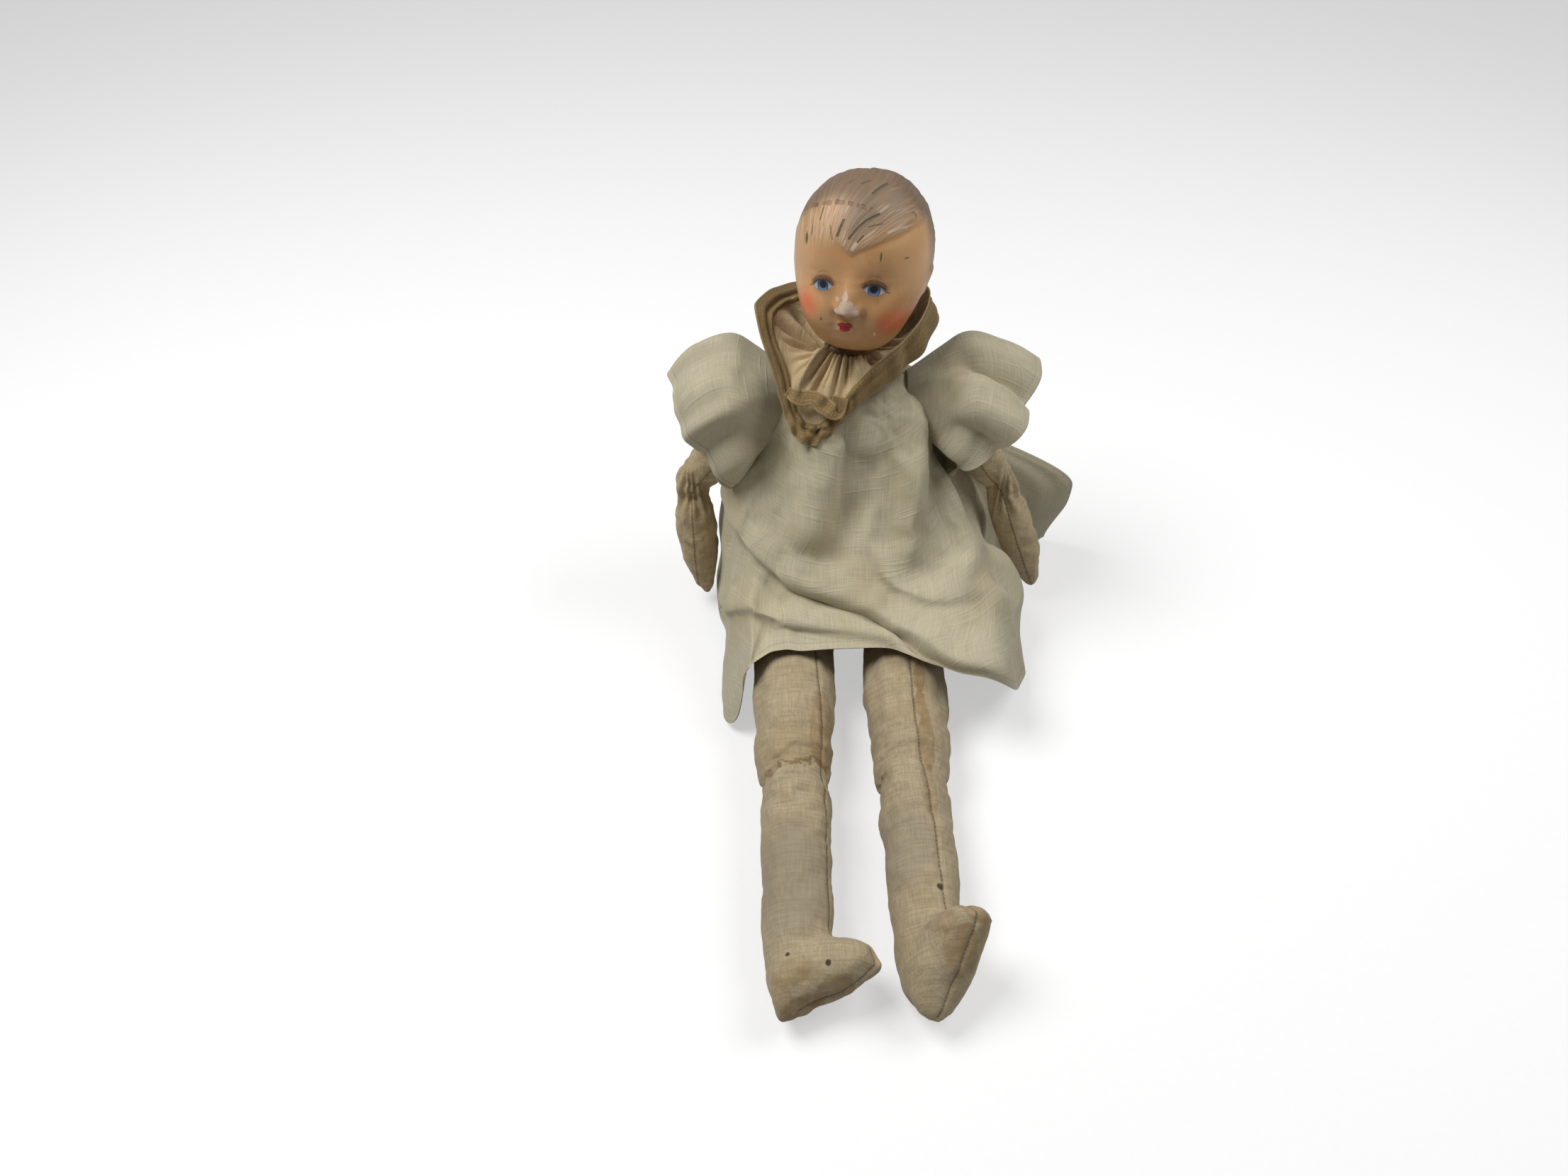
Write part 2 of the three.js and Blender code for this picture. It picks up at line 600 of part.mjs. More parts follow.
function buildLeg(side) {
  const hand = handed[side];
  const group = addGroup(new THREE.Vector3((hand * LEG_SPACING) / 2, hipY, HIP_HEIGHT), -90);
  const toeTurn = rad(TOE_TURN[side]);
  const ankle = new THREE.Vector3(0, restHeight - ANKLE_WIDTH / 2, ANKLE_WIDTH / 2 - LEG_LENGTH);
  const form = (inset) => {
    const raised = limb(footRows(), inset).rotate([-90 - TOE_LEAN[side], 0, 0]);
    const foot = raised.rotate([0, 0, TOE_TURN[side]]).translate(ankle.toArray());
    return limb(legRows(), inset).add(foot);
  };
  const towardsLeft = new THREE.Vector3(Math.cos(toeTurn), Math.sin(toeTurn), 0);
  const inwards = towardsLeft.multiplyScalar(-hand);
  const parts = stuffed(form, inwards, ankle);
  addStuffedLimb(group, `leg_${side}`, parts, ["inner_panel", "outer_panel"]);
  const half = HIP_SEAM_WIDTH / 2;
  const x = (hand * LEG_SPACING) / 2;
  const stitch = threadAlongX(x - half, x + half, THREAD_RADIUS, hipY, HIP_HEIGHT);
  addPiece(doll, `hip_stitch_${side}`, stitch, "thread");
}

// Cloth: a surface of turn u and run s, thickened along its normal on one side
function clothNormal(surface, u, s) {
  const step = 1e-3;
  const across = surface(u + step, s).sub(surface(u - step, s));
  const down = surface(u, s + step).sub(surface(u, s - step));
  return down.cross(across).normalize();
}

function cloth(surface, turn, run, columns, rows, thickness) {
  const map = (point) => {
    const u = lerp(turn[0], turn[1], point.x + 0.5);
    const s = lerp(run[0], run[1], 0.5 - point.y);
    const lift = thickness * (point.z - 0.5);
    return surface(u, s).addScaledVector(clothNormal(surface, u, s), lift);
  };
  return shaped(new THREE.BoxGeometry(1, 1, 1, columns, rows, 1), map);
}

// The same surface filled to its axis, moved out by a distance
function filled(surface, run, columns, rows, out, axis) {
  const tube = new THREE.CylinderGeometry(1, 1, 1, columns, rows);
  const map = (point) => {
    const s = lerp(run[0], run[1], 0.5 - point.y);
    if (Math.hypot(point.x, point.z) < 0.5) return axis(s);
    const u = Math.atan2(point.x, point.z);
    return surface(u, s).addScaledVector(clothNormal(surface, u, s), out);
  };
  return solidOf(shaped(tube, map));
}

// Smock: rows of half width, front, back, front height, side height, back height and squareness
const neckTop = TORSO_HEIGHT + SMOCK_NECK_RISE;
const lapTop = FLOOR_GAP + THIGH_WIDTH + LAP_EASE;
const chestFront = CHEST_SHIFT - CHEST_DEPTH / 2;
const chestBack = CHEST_SHIFT + CHEST_DEPTH / 2;
const bellyFront = BELLY_SHIFT - BELLY_DEPTH / 2;
const bellyBack = BELLY_SHIFT + BELLY_DEPTH / 2;
const chestZ = TORSO_HEIGHT - CHEST_DROP;
const waistZ = (chestZ + BELLY_HEIGHT) / 2;
const neckMiddle = [TOP_SHIFT - SMOCK_NECK_RADIUS, TOP_SHIFT + SMOCK_NECK_RADIUS];
const smockRows = [
  [SMOCK_NECK_RADIUS, ...neckMiddle, neckTop, neckTop, neckTop, 2],
  [
    SHOULDER_WIDTH / 2 + SHOULDER_EASE,
    chestFront + SHOULDER_EASE,
    chestBack + SHOULDER_EASE,
    shoulderZ + SHOULDER_EASE,
    shoulderZ + 2 * SHOULDER_EASE,
    shoulderZ + 1.5 * SHOULDER_EASE,
    2.2,
  ],
  [
    CHEST_WIDTH / 2 + CHEST_EASE,
    chestFront - 0.8 * CHEST_EASE,
    chestBack + CHEST_EASE,
    chestZ - 0.6 * CHEST_EASE,
    chestZ - 0.5 * CHEST_EASE,
    chestZ - 0.3 * CHEST_EASE,
    2.4,
  ],
  [
    BELLY_WIDTH / 2 + WAIST_EASE,
    bellyFront - 0.25 * WAIST_EASE,
    bellyBack + 0.9 * WAIST_EASE,
    waistZ,
    waistZ - 0.1 * WAIST_EASE,
    waistZ,
    2.6,
  ],
  [
    BELLY_WIDTH / 2 + SKIRT_EASE,
    hipY - 1.08 * SKIRT_EASE,
    bellyBack + SKIRT_EASE,
    BELLY_HEIGHT + 0.46 * SKIRT_EASE,
    BELLY_HEIGHT,
    BELLY_HEIGHT,
    3,
  ],
  [
    0.48 * HEM_WIDTH,
    hipY - 0.7 * HEM_FORWARD,
    0.93 * HEM_BACK,
    1.1 * lapTop,
    1.5 * HIP_HEIGHT,
    1.4 * HIP_HEIGHT,
    3.6,
  ],
  [HEM_WIDTH / 2, hipY - HEM_FORWARD, HEM_BACK, lapTop, HEM_CLEARANCE, HEM_CLEARANCE, 4],
];
const legOutside = LEG_SPACING / 2 + HIP_SEAM_WIDTH / 2;
const bell = (value, middle, spread) => Math.exp(-(((value - middle) / spread) ** 2) / 2);

// Main folds of the front: turn and run of their points, rise, and spread above and below
const TURN_LENGTH = 70; // of cloth for one radian
const RUN_LENGTH = 190; // of cloth from the neck to the hem
const frontFolds = [
  { line: [[-1.49, 0.45], [-0.64, 0.58], [0.03, 0.76], [0.66, 0.97]], rise: 8, spread: [22, 9] },
  { line: [[-1.5, 0.84], [-0.66, 0.77], [-0.17, 0.84], [0.33, 1]], rise: 5, spread: [10, 8] },
  { line: [[0.15, 0.26], [0.04, 0.4], [-0.06, 0.62]], rise: -4, spread: [10, 15] },
  { line: [[0.88, 0.15], [0.36, 0.48], [0.25, 0.72]], rise: 6, spread: [10, 9] },
  { line: [[1.13, 0.38], [0.68, 0.65], [0.39, 0.78]], rise: 5, spread: [12, 9] },
];

// A fold's share of its rise: whole on its line, none far from it or at its first and last points
function foldLevel({ line, spread }, u, s) {
  const at = ([turn, run]) => new THREE.Vector2(TURN_LENGTH * turn, -RUN_LENGTH * run);
  const here = at([u, s]);
  let [nearest, level] = [Infinity, 0];
  for (let k = 0; k + 1 < line.length; k += 1) {
    const [start, end] = [at(line[k]), at(line[k + 1])];
    const way = end.sub(start);
    const gap = here.clone().sub(start);
    const share = THREE.MathUtils.clamp(gap.dot(way) / way.lengthSq(), 0, 1);
    gap.addScaledVector(way, -share);
    if (gap.length() >= nearest) continue;
    nearest = gap.length();
    const wide = way.cross(gap) > 0 ? spread[0] : spread[1];
    const passed = (k + share) / (line.length - 1);
    const ends = smoothstep(passed, 0, 0.2) * (1 - smoothstep(passed, 0.8, 1));
    level = ends * Math.exp(-((nearest / wide) ** 2));
  }
  return level;
}

function smock(u, s) {
  const rise = frontFolds.reduce((sum, fold) => sum + fold.rise * foldLevel(fold, u, s), 0);
  const place = unfoldedSmock(u, s);
  return rise === 0 ? place : place.addScaledVector(clothNormal(unfoldedSmock, u, s), rise);
}

function unfoldedSmock(u, s) {
  const [half, front, back, frontZ, sideZ, backZ, square] = along(smockRows, Math.min(s, 1));
  const [sine, cosine] = [Math.sin(u), Math.cos(u)];
  const x = half * signedPower(sine, 2 / square);
  const middle = (front + back) / 2;
  const y = middle - ((back - front) / 2) * signedPower(cosine, 2 / square);
  const besideLegs = legOutside + LINEN;
  const overLegs = 1 - smoothstep(Math.abs(x), besideLegs, besideLegs + HEM_TURN_DOWN);
  const ahead = smoothstep(cosine, 0, 0.35) * overLegs;
  const behind = smoothstep(-cosine, 0, 0.5);
  const z = sideZ + (frontZ - sideZ) * ahead + (backZ - sideZ) * behind;
  const low = smoothstep(s, 0.25, 1);
  const broad = Math.sin(9 * u + 4 * s) * (1 - 0.6 * ahead);
  const fine = 0.4 * Math.sin(17 * u - 3 * s);
  const fold = FOLD_DEPTH * low * (broad + fine);
  const corners = FRONT_CORNERS * smoothstep(s, 0.55, 1) * (bell(u, -0.72, 0.2) + bell(u, 0.72, 0.2));
  const slack = HEM_SLACK.right * bell(u, -1, 0.2) + HEM_SLACK.left * bell(u, 0.45, 0.18);
  const forward = corners + slack * smoothstep(s, 0.75, 1);
  const spread = LEFT_SPREAD * smoothstep(s, 0.48, 0.8) * bell(u, 0.98, 0.36);
  const flare = FLARE * smoothstep(s, 0.38, 0.62) * bell(u, 2.15, 0.24);
  const outX = fold * sine + spread + flare;
  return new THREE.Vector3(x + outX, y - fold * cosine - forward, z);
}

// Sleeve: rings of share along the arm, distance outwards, radius and tip in degrees, armhole first
function sleeveSurface(side) {
  const hand = handed[side];
  const start = shoulderPoint(side);
  const elbow = reach(start, UPPER_ARM_LENGTH, hand * UPPER_ARM_OUT, UPPER_ARM_FORWARD);
  const arm = elbow.clone().sub(start);
  const [hemShare, hemTip] = [SLEEVE_HEM_SHARE[side], SLEEVE_HEM_TIP[side]];
  const rows = [
    [0, -SHOULDER_BALL_RADIUS, 0.57 * SLEEVE_RADIUS, 0],
    [0.2 * hemShare, 0.4 * SHOULDER_BALL_RADIUS, 0.88 * SLEEVE_RADIUS, 0.2 * hemTip],
    [0.58 * hemShare, 1.2 * SHOULDER_BALL_RADIUS, SLEEVE_RADIUS, 0.55 * hemTip],
    [hemShare, SLEEVE_HEM_REACH[side], SLEEVE_HEM_RADIUS[side], hemTip],
  ];
  return (u, s) => {
    const [share, out, radius, tip] = along(rows, s);
    const centre = start.clone().addScaledVector(arm, share).add(new THREE.Vector3(hand * out, 0, 0));
    const up = new THREE.Vector3(hand * Math.sin(rad(tip)), 0, Math.cos(rad(tip)));
    const soft = radius * (1 + 0.045 * s * Math.sin(5 * u + 1));
    const aside = new THREE.Vector3(0, hand * soft * Math.sin(u), 0);
    return centre.addScaledVector(up, soft * Math.cos(u)).add(aside);
  };
}

const smockAxis = (s) => {
  const [, front, back, frontZ, sideZ] = along(smockRows, s);
  return new THREE.Vector3(0, (front + back) / 2, Math.min(frontZ, sideZ));
};

// A cut cloth without its off-cuts
function mainBody(solid) {
  return solid.decompose().reduce((best, piece) => (piece.volume() > best.volume() ? piece : best));
}

function buildSmock() {
  const bodice = filled(smock, [0, 0.75], 2 * PANEL_COLUMNS, 0.75 * PANEL_ROWS, 2 * FIT, smockAxis);
  const armholes = [];
  for (const side of sides) {
    const surface = sleeveSurface(side);
    const axis = (s) => surface(0, s).add(surface(Math.PI, s)).multiplyScalar(0.5);
    const outer = filled(surface, [0, 1], 18, 5, 0, axis);
    const bore = filled(surface, [-0.05, 1.04], 18, 5, -LINEN, axis);
    const arm = upperArmForm(side, -ARMHOLE_EASE).transform(upperArmPlace(side).elements);
    armholes.push(filled(surface, [-0.05, 0.4], 18, 3, -LINEN, axis).add(arm));
    addPiece(doll, `sleeve_${side}`, mainBody(outer.subtract(bore).subtract(bodice)), "linen");
  }
  const sideGap = 0.006;
  const halves = {
    smock_front_panel: [-Math.PI / 2 + sideGap, Math.PI / 2 - sideGap],
    smock_back_panel: [Math.PI / 2 + sideGap, 1.5 * Math.PI - sideGap],
  };
  for (const [name, turn] of Object.entries(halves)) {
    const panel = solidOf(cloth(smock, turn, [0, 1], PANEL_COLUMNS, PANEL_ROWS, LINEN));
    addPiece(doll, name, mainBody(panel.subtract(armholes[0]).subtract(armholes[1])), "linen");
  }
}

// Collar: pleats stand up round the neck and fall open in front
const COLLAR_TIP = -0.32; // turn of the falling tip from straight ahead

function collarSurface(u, s) {
  const behind = smoothstep(Math.abs(u), 1.8, 2.7);
  const side = smoothstep(Math.abs(u - COLLAR_TIP), 0.15, 1.5) * (1 - 0.6 * behind);
  const reachOut = lerp(COLLAR_FRONT_REACH, COLLAR_SIDE_REACH, side);
  const rise = lerp(-COLLAR_FALL, COLLAR_RISE, side);
  const radius = COLLAR_NECK_RADIUS + reachOut * s;
  const pleat = PLEAT_DEPTH * s * Math.sin(COLLAR_PLEATS * u);
  const height = neckTop + COLLAR_STAND + rise * Math.max(s, 0) ** 1.3 + pleat;
  const offset = radius - pleat * 0.6 * side;
  return new THREE.Vector3(offset * Math.sin(u), TOP_SHIFT - offset * Math.cos(u), height);
}

function buildCollar() {
  const opening = 0.02;
  const turn = [opening - Math.PI, Math.PI - opening];
  const width = Math.hypot(COLLAR_FRONT_REACH, COLLAR_FALL);
  const bindingStart = 1 - BINDING_WIDTH / width;
  const columns = 4 * COLLAR_PLEATS;
  const frill = cloth(collarSurface, turn, [0, bindingStart - FIT / width], columns, 2, COLLAR_GAUZE);
  addPiece(doll, "collar_frill", frill, "gauze");
  const binding = cloth(collarSurface, turn, [bindingStart, 1], columns, 1, COLLAR_GAUZE);
  addPiece(doll, "collar_binding", binding, "tape");
  const button = new THREE.CylinderGeometry(BUTTON_RADIUS, BUTTON_RADIUS, BUTTON_THICKNESS, LATHE_SIDES);
  const run = 0.13;
  const normal = clothNormal(smock, Math.PI, run);
  const seat = smock(Math.PI, run).addScaledVector(normal, FIT + BUTTON_THICKNESS / 2);
  const mesh = addPiece(doll, "back_neck_button", shaped(button, same), "shell");
  mesh.position.copy(seat);
  mesh.quaternion.setFromUnitVectors(new THREE.Vector3(0, 1, 0), normal);
}

buildTorso();
buildHeadAndNeck();
sides.forEach(buildArm);
sides.forEach(buildLeg);
buildSmock();
buildCollar();

export default doll;
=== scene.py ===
"""A seated cloth doll: painted head, stuffed body and limbs, linen smock and gauze collar."""
from math import pi, radians

import bpy
import numpy as np
from mathutils import Matrix, Vector
from mathutils.bvhtree import BVHTree


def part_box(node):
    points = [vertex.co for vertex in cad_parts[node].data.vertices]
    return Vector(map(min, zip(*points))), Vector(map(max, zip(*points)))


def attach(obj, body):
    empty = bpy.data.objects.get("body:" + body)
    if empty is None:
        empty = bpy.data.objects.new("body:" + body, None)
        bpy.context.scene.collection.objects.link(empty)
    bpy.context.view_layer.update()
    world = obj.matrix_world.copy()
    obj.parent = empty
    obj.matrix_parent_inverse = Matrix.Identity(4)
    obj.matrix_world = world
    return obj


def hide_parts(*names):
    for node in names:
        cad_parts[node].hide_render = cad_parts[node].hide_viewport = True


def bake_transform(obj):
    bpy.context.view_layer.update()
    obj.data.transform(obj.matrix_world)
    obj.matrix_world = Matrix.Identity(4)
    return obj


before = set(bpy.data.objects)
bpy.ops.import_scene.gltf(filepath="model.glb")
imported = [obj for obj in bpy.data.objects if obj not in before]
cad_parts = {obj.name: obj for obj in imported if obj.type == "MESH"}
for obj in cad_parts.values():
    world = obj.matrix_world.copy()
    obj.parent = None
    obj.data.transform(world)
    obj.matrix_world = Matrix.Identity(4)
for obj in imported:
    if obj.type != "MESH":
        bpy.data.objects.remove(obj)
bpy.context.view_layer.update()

bl_info = {
    "name": "Seated Cloth Doll",
    "version": (1, 0, 0),
    "blender": (4, 5, 0),
    "location": "View3D > Sidebar > Doll",
    "description": "Dresses the solids of a seated cloth doll with stuffing, paint and cloth",
    "category": "Object",
}

MM = 0.001
HANDED = {"left": 1, "right": -1}

# Places in millimetres: the doll faces -Y and its left is +X
NECK_POINT = np.array([0.0, 15.0, 161.0])
NECK_TURN = Matrix.Rotation(radians(-11.7), 3, "X") @ Matrix.Rotation(radians(5), 3, "Y")
FACE_TURN = NECK_TURN @ Matrix.Rotation(radians(-14), 3, "Z") @ Matrix.Rotation(radians(-3.3), 3, "Y")
HEAD_RISE = 62.0
HEAD_CENTRE = NECK_POINT + np.array(NECK_TURN) @ np.array([0, 0, HEAD_RISE])
SHOULDER = {side: np.array([53.5 * hand, 12.5, 146.0]) for side, hand in HANDED.items()}
ELBOW = {side: np.array([94.04 * hand, -3.06, 87.95]) for side, hand in HANDED.items()}
HIP_LINE = {side: np.array([32.0 * hand, -34.0, 20.0]) for side, hand in HANDED.items()}
SIM_SCALE = 10


def linear(red, green, blue):
    """A screen colour from 0 to 255 as linear light."""
    def one(level):
        level /= 255
        return level / 12.92 if level <= 0.04045 else ((level + 0.055) / 1.055) ** 2.4

    return tuple(one(level) for level in (red, green, blue))


def length(name, description, default):
    """A size property, given in millimetres."""
    return bpy.props.FloatProperty(
        name=name, description=description, default=default * MM, min=0, unit="LENGTH", precision=5
    )


def colour(name, description, *default):
    """A colour property, given as it shows on a screen."""
    return bpy.props.FloatVectorProperty(
        name=name, description=description, default=linear(*default), min=0, max=1, subtype="COLOR"
    )


class DollSizes(bpy.types.PropertyGroup):
    """Sizes of the doll's pieces."""

    head_width: length("Head width", "Over the temples, without the hair", 75.5)
    head_depth: length("Head depth", "From the brow to the back", 84)
    head_height: length("Head height", "From the chin to the crown", 95)
    hair_relief: length("Hair relief", "Moulded hair above the brow", 0.9)
    casing_voxel: length("Casing grain", "Grain of the stuffed casings", 2)
    lumps: length("Lumps", "Unevenness of the stuffing", 0.7)
    plumping: length("Plumping", "Most that the stuffing swells a casing", 3)
    linen: length("Linen", "Thickness of the smock's cloth", 0.6)
    gauze: length("Gauze", "Thickness of the collar's frill", 0.5)
    tape: length("Tape", "Thickness of the doubled binding", 1.1)
    hem: length("Hem", "Width of the narrow hems", 5)
    thread: length("Thread", "Radius of the sewing thread", 0.45)
    button: length("Button", "Radius of the neck button", 4.5)


class DollColours(bpy.types.PropertyGroup):
    """Colours of the doll's finishes."""

    skin: colour("Skin", "Painted face", 196, 146, 95)
    blush: colour("Blush", "Cheeks", 216, 104, 62)
    lips: colour("Lips", "Painted mouth", 164, 22, 22)
    iris: colour("Iris", "Painted eyes", 72, 100, 142)
    hair: colour("Hair", "Painted hair", 133, 110, 88)
    bare: colour("Bare plaster", "Where the paint is worn off", 206, 182, 160)
    muslin: colour("Muslin", "Casing of the body and limbs", 176, 160, 129)
    stain: colour("Stain", "Old water marks on the casing", 142, 112, 68)
    linen: colour("Linen", "Smock and sleeves", 190, 181, 154)
    gauze: colour("Gauze", "Collar frill", 200, 177, 136)
    tape: colour("Tape", "Collar binding", 142, 117, 72)
    thread: colour("Thread", "Sewing thread", 120, 98, 66)
    shell: colour("Shell", "Neck button", 216, 206, 188)


# Numbers along and over a surface

def smooth(value, low, high):
    """0 below low and 1 above high, or the other way round where low is the larger."""
    share = np.clip((value - low) / (high - low), 0, 1)
    return share * share * (3 - 2 * share)


def bell(value, middle, spread):
    """1 in the middle, falling off on both sides."""
    return np.exp(-(((value - middle) / spread) ** 2) / 2)


def power(value, exponent):
    """A power that keeps the sign."""
    return np.sign(value) * np.abs(value) ** exponent


def along(rows, share):
    """Smooth values through rows of numbers, with share from 0 to 1."""
    rows = np.asarray(rows, float)
    last = len(rows) - 1
    k = np.clip(np.floor(share * last).astype(int), 0, last - 1)
    f = (share * last - k)[..., None]
    a, b, c, d = (rows[np.clip(k + step, 0, last)] for step in (-1, 0, 1, 2))
    return b + 0.5 * f * (c - a + f * (2 * a - 5 * b + 4 * c - d + f * (3 * (b - c) + d - a)))


def sway(across, down, wide, long, seed, waves=9):
    """Soft irregular waves, about one high, that run down the cloth."""
    chance = np.random.default_rng(seed)
    total = np.zeros(np.broadcast(across, down).shape)
    for _ in range(waves):
        a, b = chance.uniform(0.5, 1.6) / wide, chance.uniform(-1, 1) / long
        total += np.sin(2 * pi * (a * across + b * down + chance.uniform()))
    return total / np.sqrt(waves / 2)


# Meshes

def deselect():
    bpy.ops.object.select_all(action="DESELECT")


def pick(obj):
    deselect()
    obj.select_set(True)
    bpy.context.view_layer.objects.active = obj


def apply(obj, kind, **settings):
    """Adds a modifier and applies it."""
    pick(obj)
    modifier = obj.modifiers.new(kind.title(), kind)
    for name, value in settings.items():
        setattr(modifier, name, value)
    bpy.ops.object.modifier_apply(modifier=modifier.name)
    return obj


def points(obj):
    """A piece's vertices, in millimetres."""
    places = np.empty(len(obj.data.vertices) * 3)
    obj.data.vertices.foreach_get("co", places)
    return places.reshape(-1, 3) / MM


def set_points(obj, places):
    obj.data.vertices.foreach_set("co", (places * MM).astype(np.float32).ravel())
    obj.data.update()


def normals(obj):
    out = np.empty(len(obj.data.vertices) * 3, np.float32)
    obj.data.vertex_normals.foreach_get("vector", out)
    return out.reshape(-1, 3).astype(float)


def note(obj, name, values):
    """Keeps a number for each vertex, for the finish to read."""
    attribute = obj.data.attributes.new(name, "FLOAT", "POINT")
    attribute.data.foreach_set("value", np.asarray(values, np.float32))


def merge(obj):
    """Joins the points of a piece that lie together."""
    pick(obj)
    bpy.ops.object.mode_set(mode="EDIT")
    bpy.ops.mesh.select_all(action="SELECT")
    bpy.ops.mesh.remove_doubles(threshold=1e-5)
    bpy.ops.object.mode_set(mode="OBJECT")


def edit_faces(obj, chosen):
    """Opens a piece in edit mode with only the chosen faces selected."""
    pick(obj)
    bpy.ops.object.mode_set(mode="EDIT")
    bpy.ops.mesh.select_mode(type="FACE")
    bpy.ops.mesh.select_all(action="DESELECT")
    bpy.ops.object.mode_set(mode="OBJECT")
    obj.data.polygons.foreach_set("select", chosen)
    bpy.ops.object.mode_set(mode="EDIT")


def new_piece(name):
    obj = bpy.context.active_object
    obj.name = name
    obj.data.name = name
    return obj


def finish_piece(obj, finish, nodes):
    """Gives a piece its finish and slot, and hides the nodes it stands for."""
    obj.data.materials.clear()
    obj.data.materials.append(finish.material)
    obj.data.shade_smooth()
    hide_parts(*nodes)
    return obj


# Finishes

class Value:
    """A number or colour that changes over a surface. Sums and products of numbers add Math nodes."""

    def __init__(self, finish, socket):
        self.finish, self.socket = finish, socket

    def __add__(self, other):
        return self.finish.math("ADD", self, other)

    __radd__ = __add__

    def __sub__(self, other):
        return self.finish.math("SUBTRACT", self, other)

    def __rsub__(self, other):
        return self.finish.math("SUBTRACT", other, self)

    def __mul__(self, other):
        return self.finish.math("MULTIPLY", self, other)

    __rmul__ = __mul__

    def __truediv__(self, other):
        return self.finish.math("DIVIDE", self, other)

    def __neg__(self):
        return self.finish.math("MULTIPLY", self, -1)

    def __abs__(self):
        return self.finish.math("ABSOLUTE", self)

    def __pow__(self, other):
        return self.finish.math("POWER", self, other)

    def least(self, other):
        return self.finish.math("MINIMUM", self, other)

    def most(self, other):
        return self.finish.math("MAXIMUM", self, other)

    def step(self, low, high):
        """0 below low and 1 above high, or the other way round where low is the larger."""
        settings = {"interpolation_type": "SMOOTHSTEP"}
        return self.finish.node("ShaderNodeMapRange", settings, {0: self, 1: low, 2: high})


class Finish:
    """A material: one Principled shader and the nodes that feed it."""

    def __init__(self, name, **constants):
        self.material = bpy.data.materials.new(name)
        self.material.use_nodes = True
        self.tree = self.material.node_tree
        self.shader = self.tree.nodes["Principled BSDF"]
        for socket, value in constants.items():
            self.feed(self.shader.inputs[socket.replace("_", " ")], value)

    def feed(self, socket, value):
        if isinstance(value, Value):
            self.tree.links.new(value.socket, socket)
        elif socket.type == "RGBA":
            socket.default_value = (*value[:3], 1)
        else:
            socket.default_value = value

    def node(self, kind, settings=None, inputs=None, output=0):
        """Any node: its settings first, a ramp's stops among them, then what its sockets get."""
        node = self.tree.nodes.new(kind)
        for name, value in (settings or {}).items():
            if name == "stops":
                ramp = node.color_ramp
                while len(ramp.elements) < len(value):
                    ramp.elements.new(1)
                for element, (place, level) in zip(ramp.elements, value):
                    element.position, element.color = place, (level, level, level, 1)
            else:
                setattr(node, name, value)
        for socket, value in (inputs or {}).items():
            self.feed(node.inputs[socket], value)
        return Value(self, node.outputs[output])

    def math(self, operation, *values):
        return self.node("ShaderNodeMath", {"operation": operation}, dict(enumerate(values)))

    def mix(self, share, first, second):
        settings = {"data_type": "RGBA"}
        return self.node("ShaderNodeMix", settings, {0: share, 6: first, 7: second}, 2)

    def stretch(self, vector, *scale):
        settings = {"operation": "MULTIPLY"}
        return self.node("ShaderNodeVectorMath", settings, {0: vector, 1: scale})

    def noise(self, vector, scale=1.0, detail=2.0, rough=0.5, warp=0.0):
        inputs = {"Vector": vector, "Scale": scale, "Detail": detail, "Roughness": rough, "Distortion": warp}
        return self.node("ShaderNodeTexNoise", None, inputs)

    def split(self, vector):
        node = self.node("ShaderNodeSeparateXYZ", None, {0: vector}).socket.node
        return [Value(self, socket) for socket in node.outputs]

    def join(self, x, y, z=0.0):
        return self.node("ShaderNodeCombineXYZ", None, {0: x, 1: y, 2: z})

    def object_place(self):
        return self.node("ShaderNodeTexCoord", None, None, 3)

    def cloth_place(self):
        return self.node("ShaderNodeTexCoord", None, None, 2)

    def noted(self, name):
        return self.node("ShaderNodeAttribute", {"attribute_name": name}, None, 2)

    def surface(self, base, rough=None, height=None):
        """Feeds the shader: colour, roughness and a relief in millimetres."""
        self.feed(self.shader.inputs["Base Color"], base)
        if rough is not None:
            self.feed(self.shader.inputs["Roughness"], rough)
        if height is not None:
            bump = self.node("ShaderNodeBump", None, {"Distance": MM, "Strength": 1.0, "Height": height})
            self.feed(self.shader.inputs["Normal"], bump)
        return self


def shade(tint, level):
    """A tint made darker below 1 and lighter above."""
    return tuple(level * part for part in tint)


def blended(first, second, share):
    return tuple(a + (b - a) * share for a, b in zip(first, second))


def oval_away(across, up, wide, tall):
    """How far a place is from an oval's middle, where its rim is at 1."""
    return ((across / wide) ** 2 + (up / tall) ** 2) ** 0.5


# Stage

CAMERA_PLACE = (-0.038, -0.546, 0.527)
CAMERA_TILT = 46
SENSOR, LENS = 36, 26.19
FLOOR_SIZE, FLOOR_GLOW = 14, 0.5
FLOOR_GREYS = ((0.54, 0.54, 0.54), (0.58, 0.58, 0.58))
WORLD_LIGHT = 0.14
LAMP_AIM = Vector((0, -0.08, 0.08))
LAMPS = {
    # place, width and watts
    "key_lamp": ((-0.6, -0.05, 1.15), 0.7, 11.2),
    "fill_lamp": ((0.7, 0.05, 1.0), 0.7, 5.4),
}


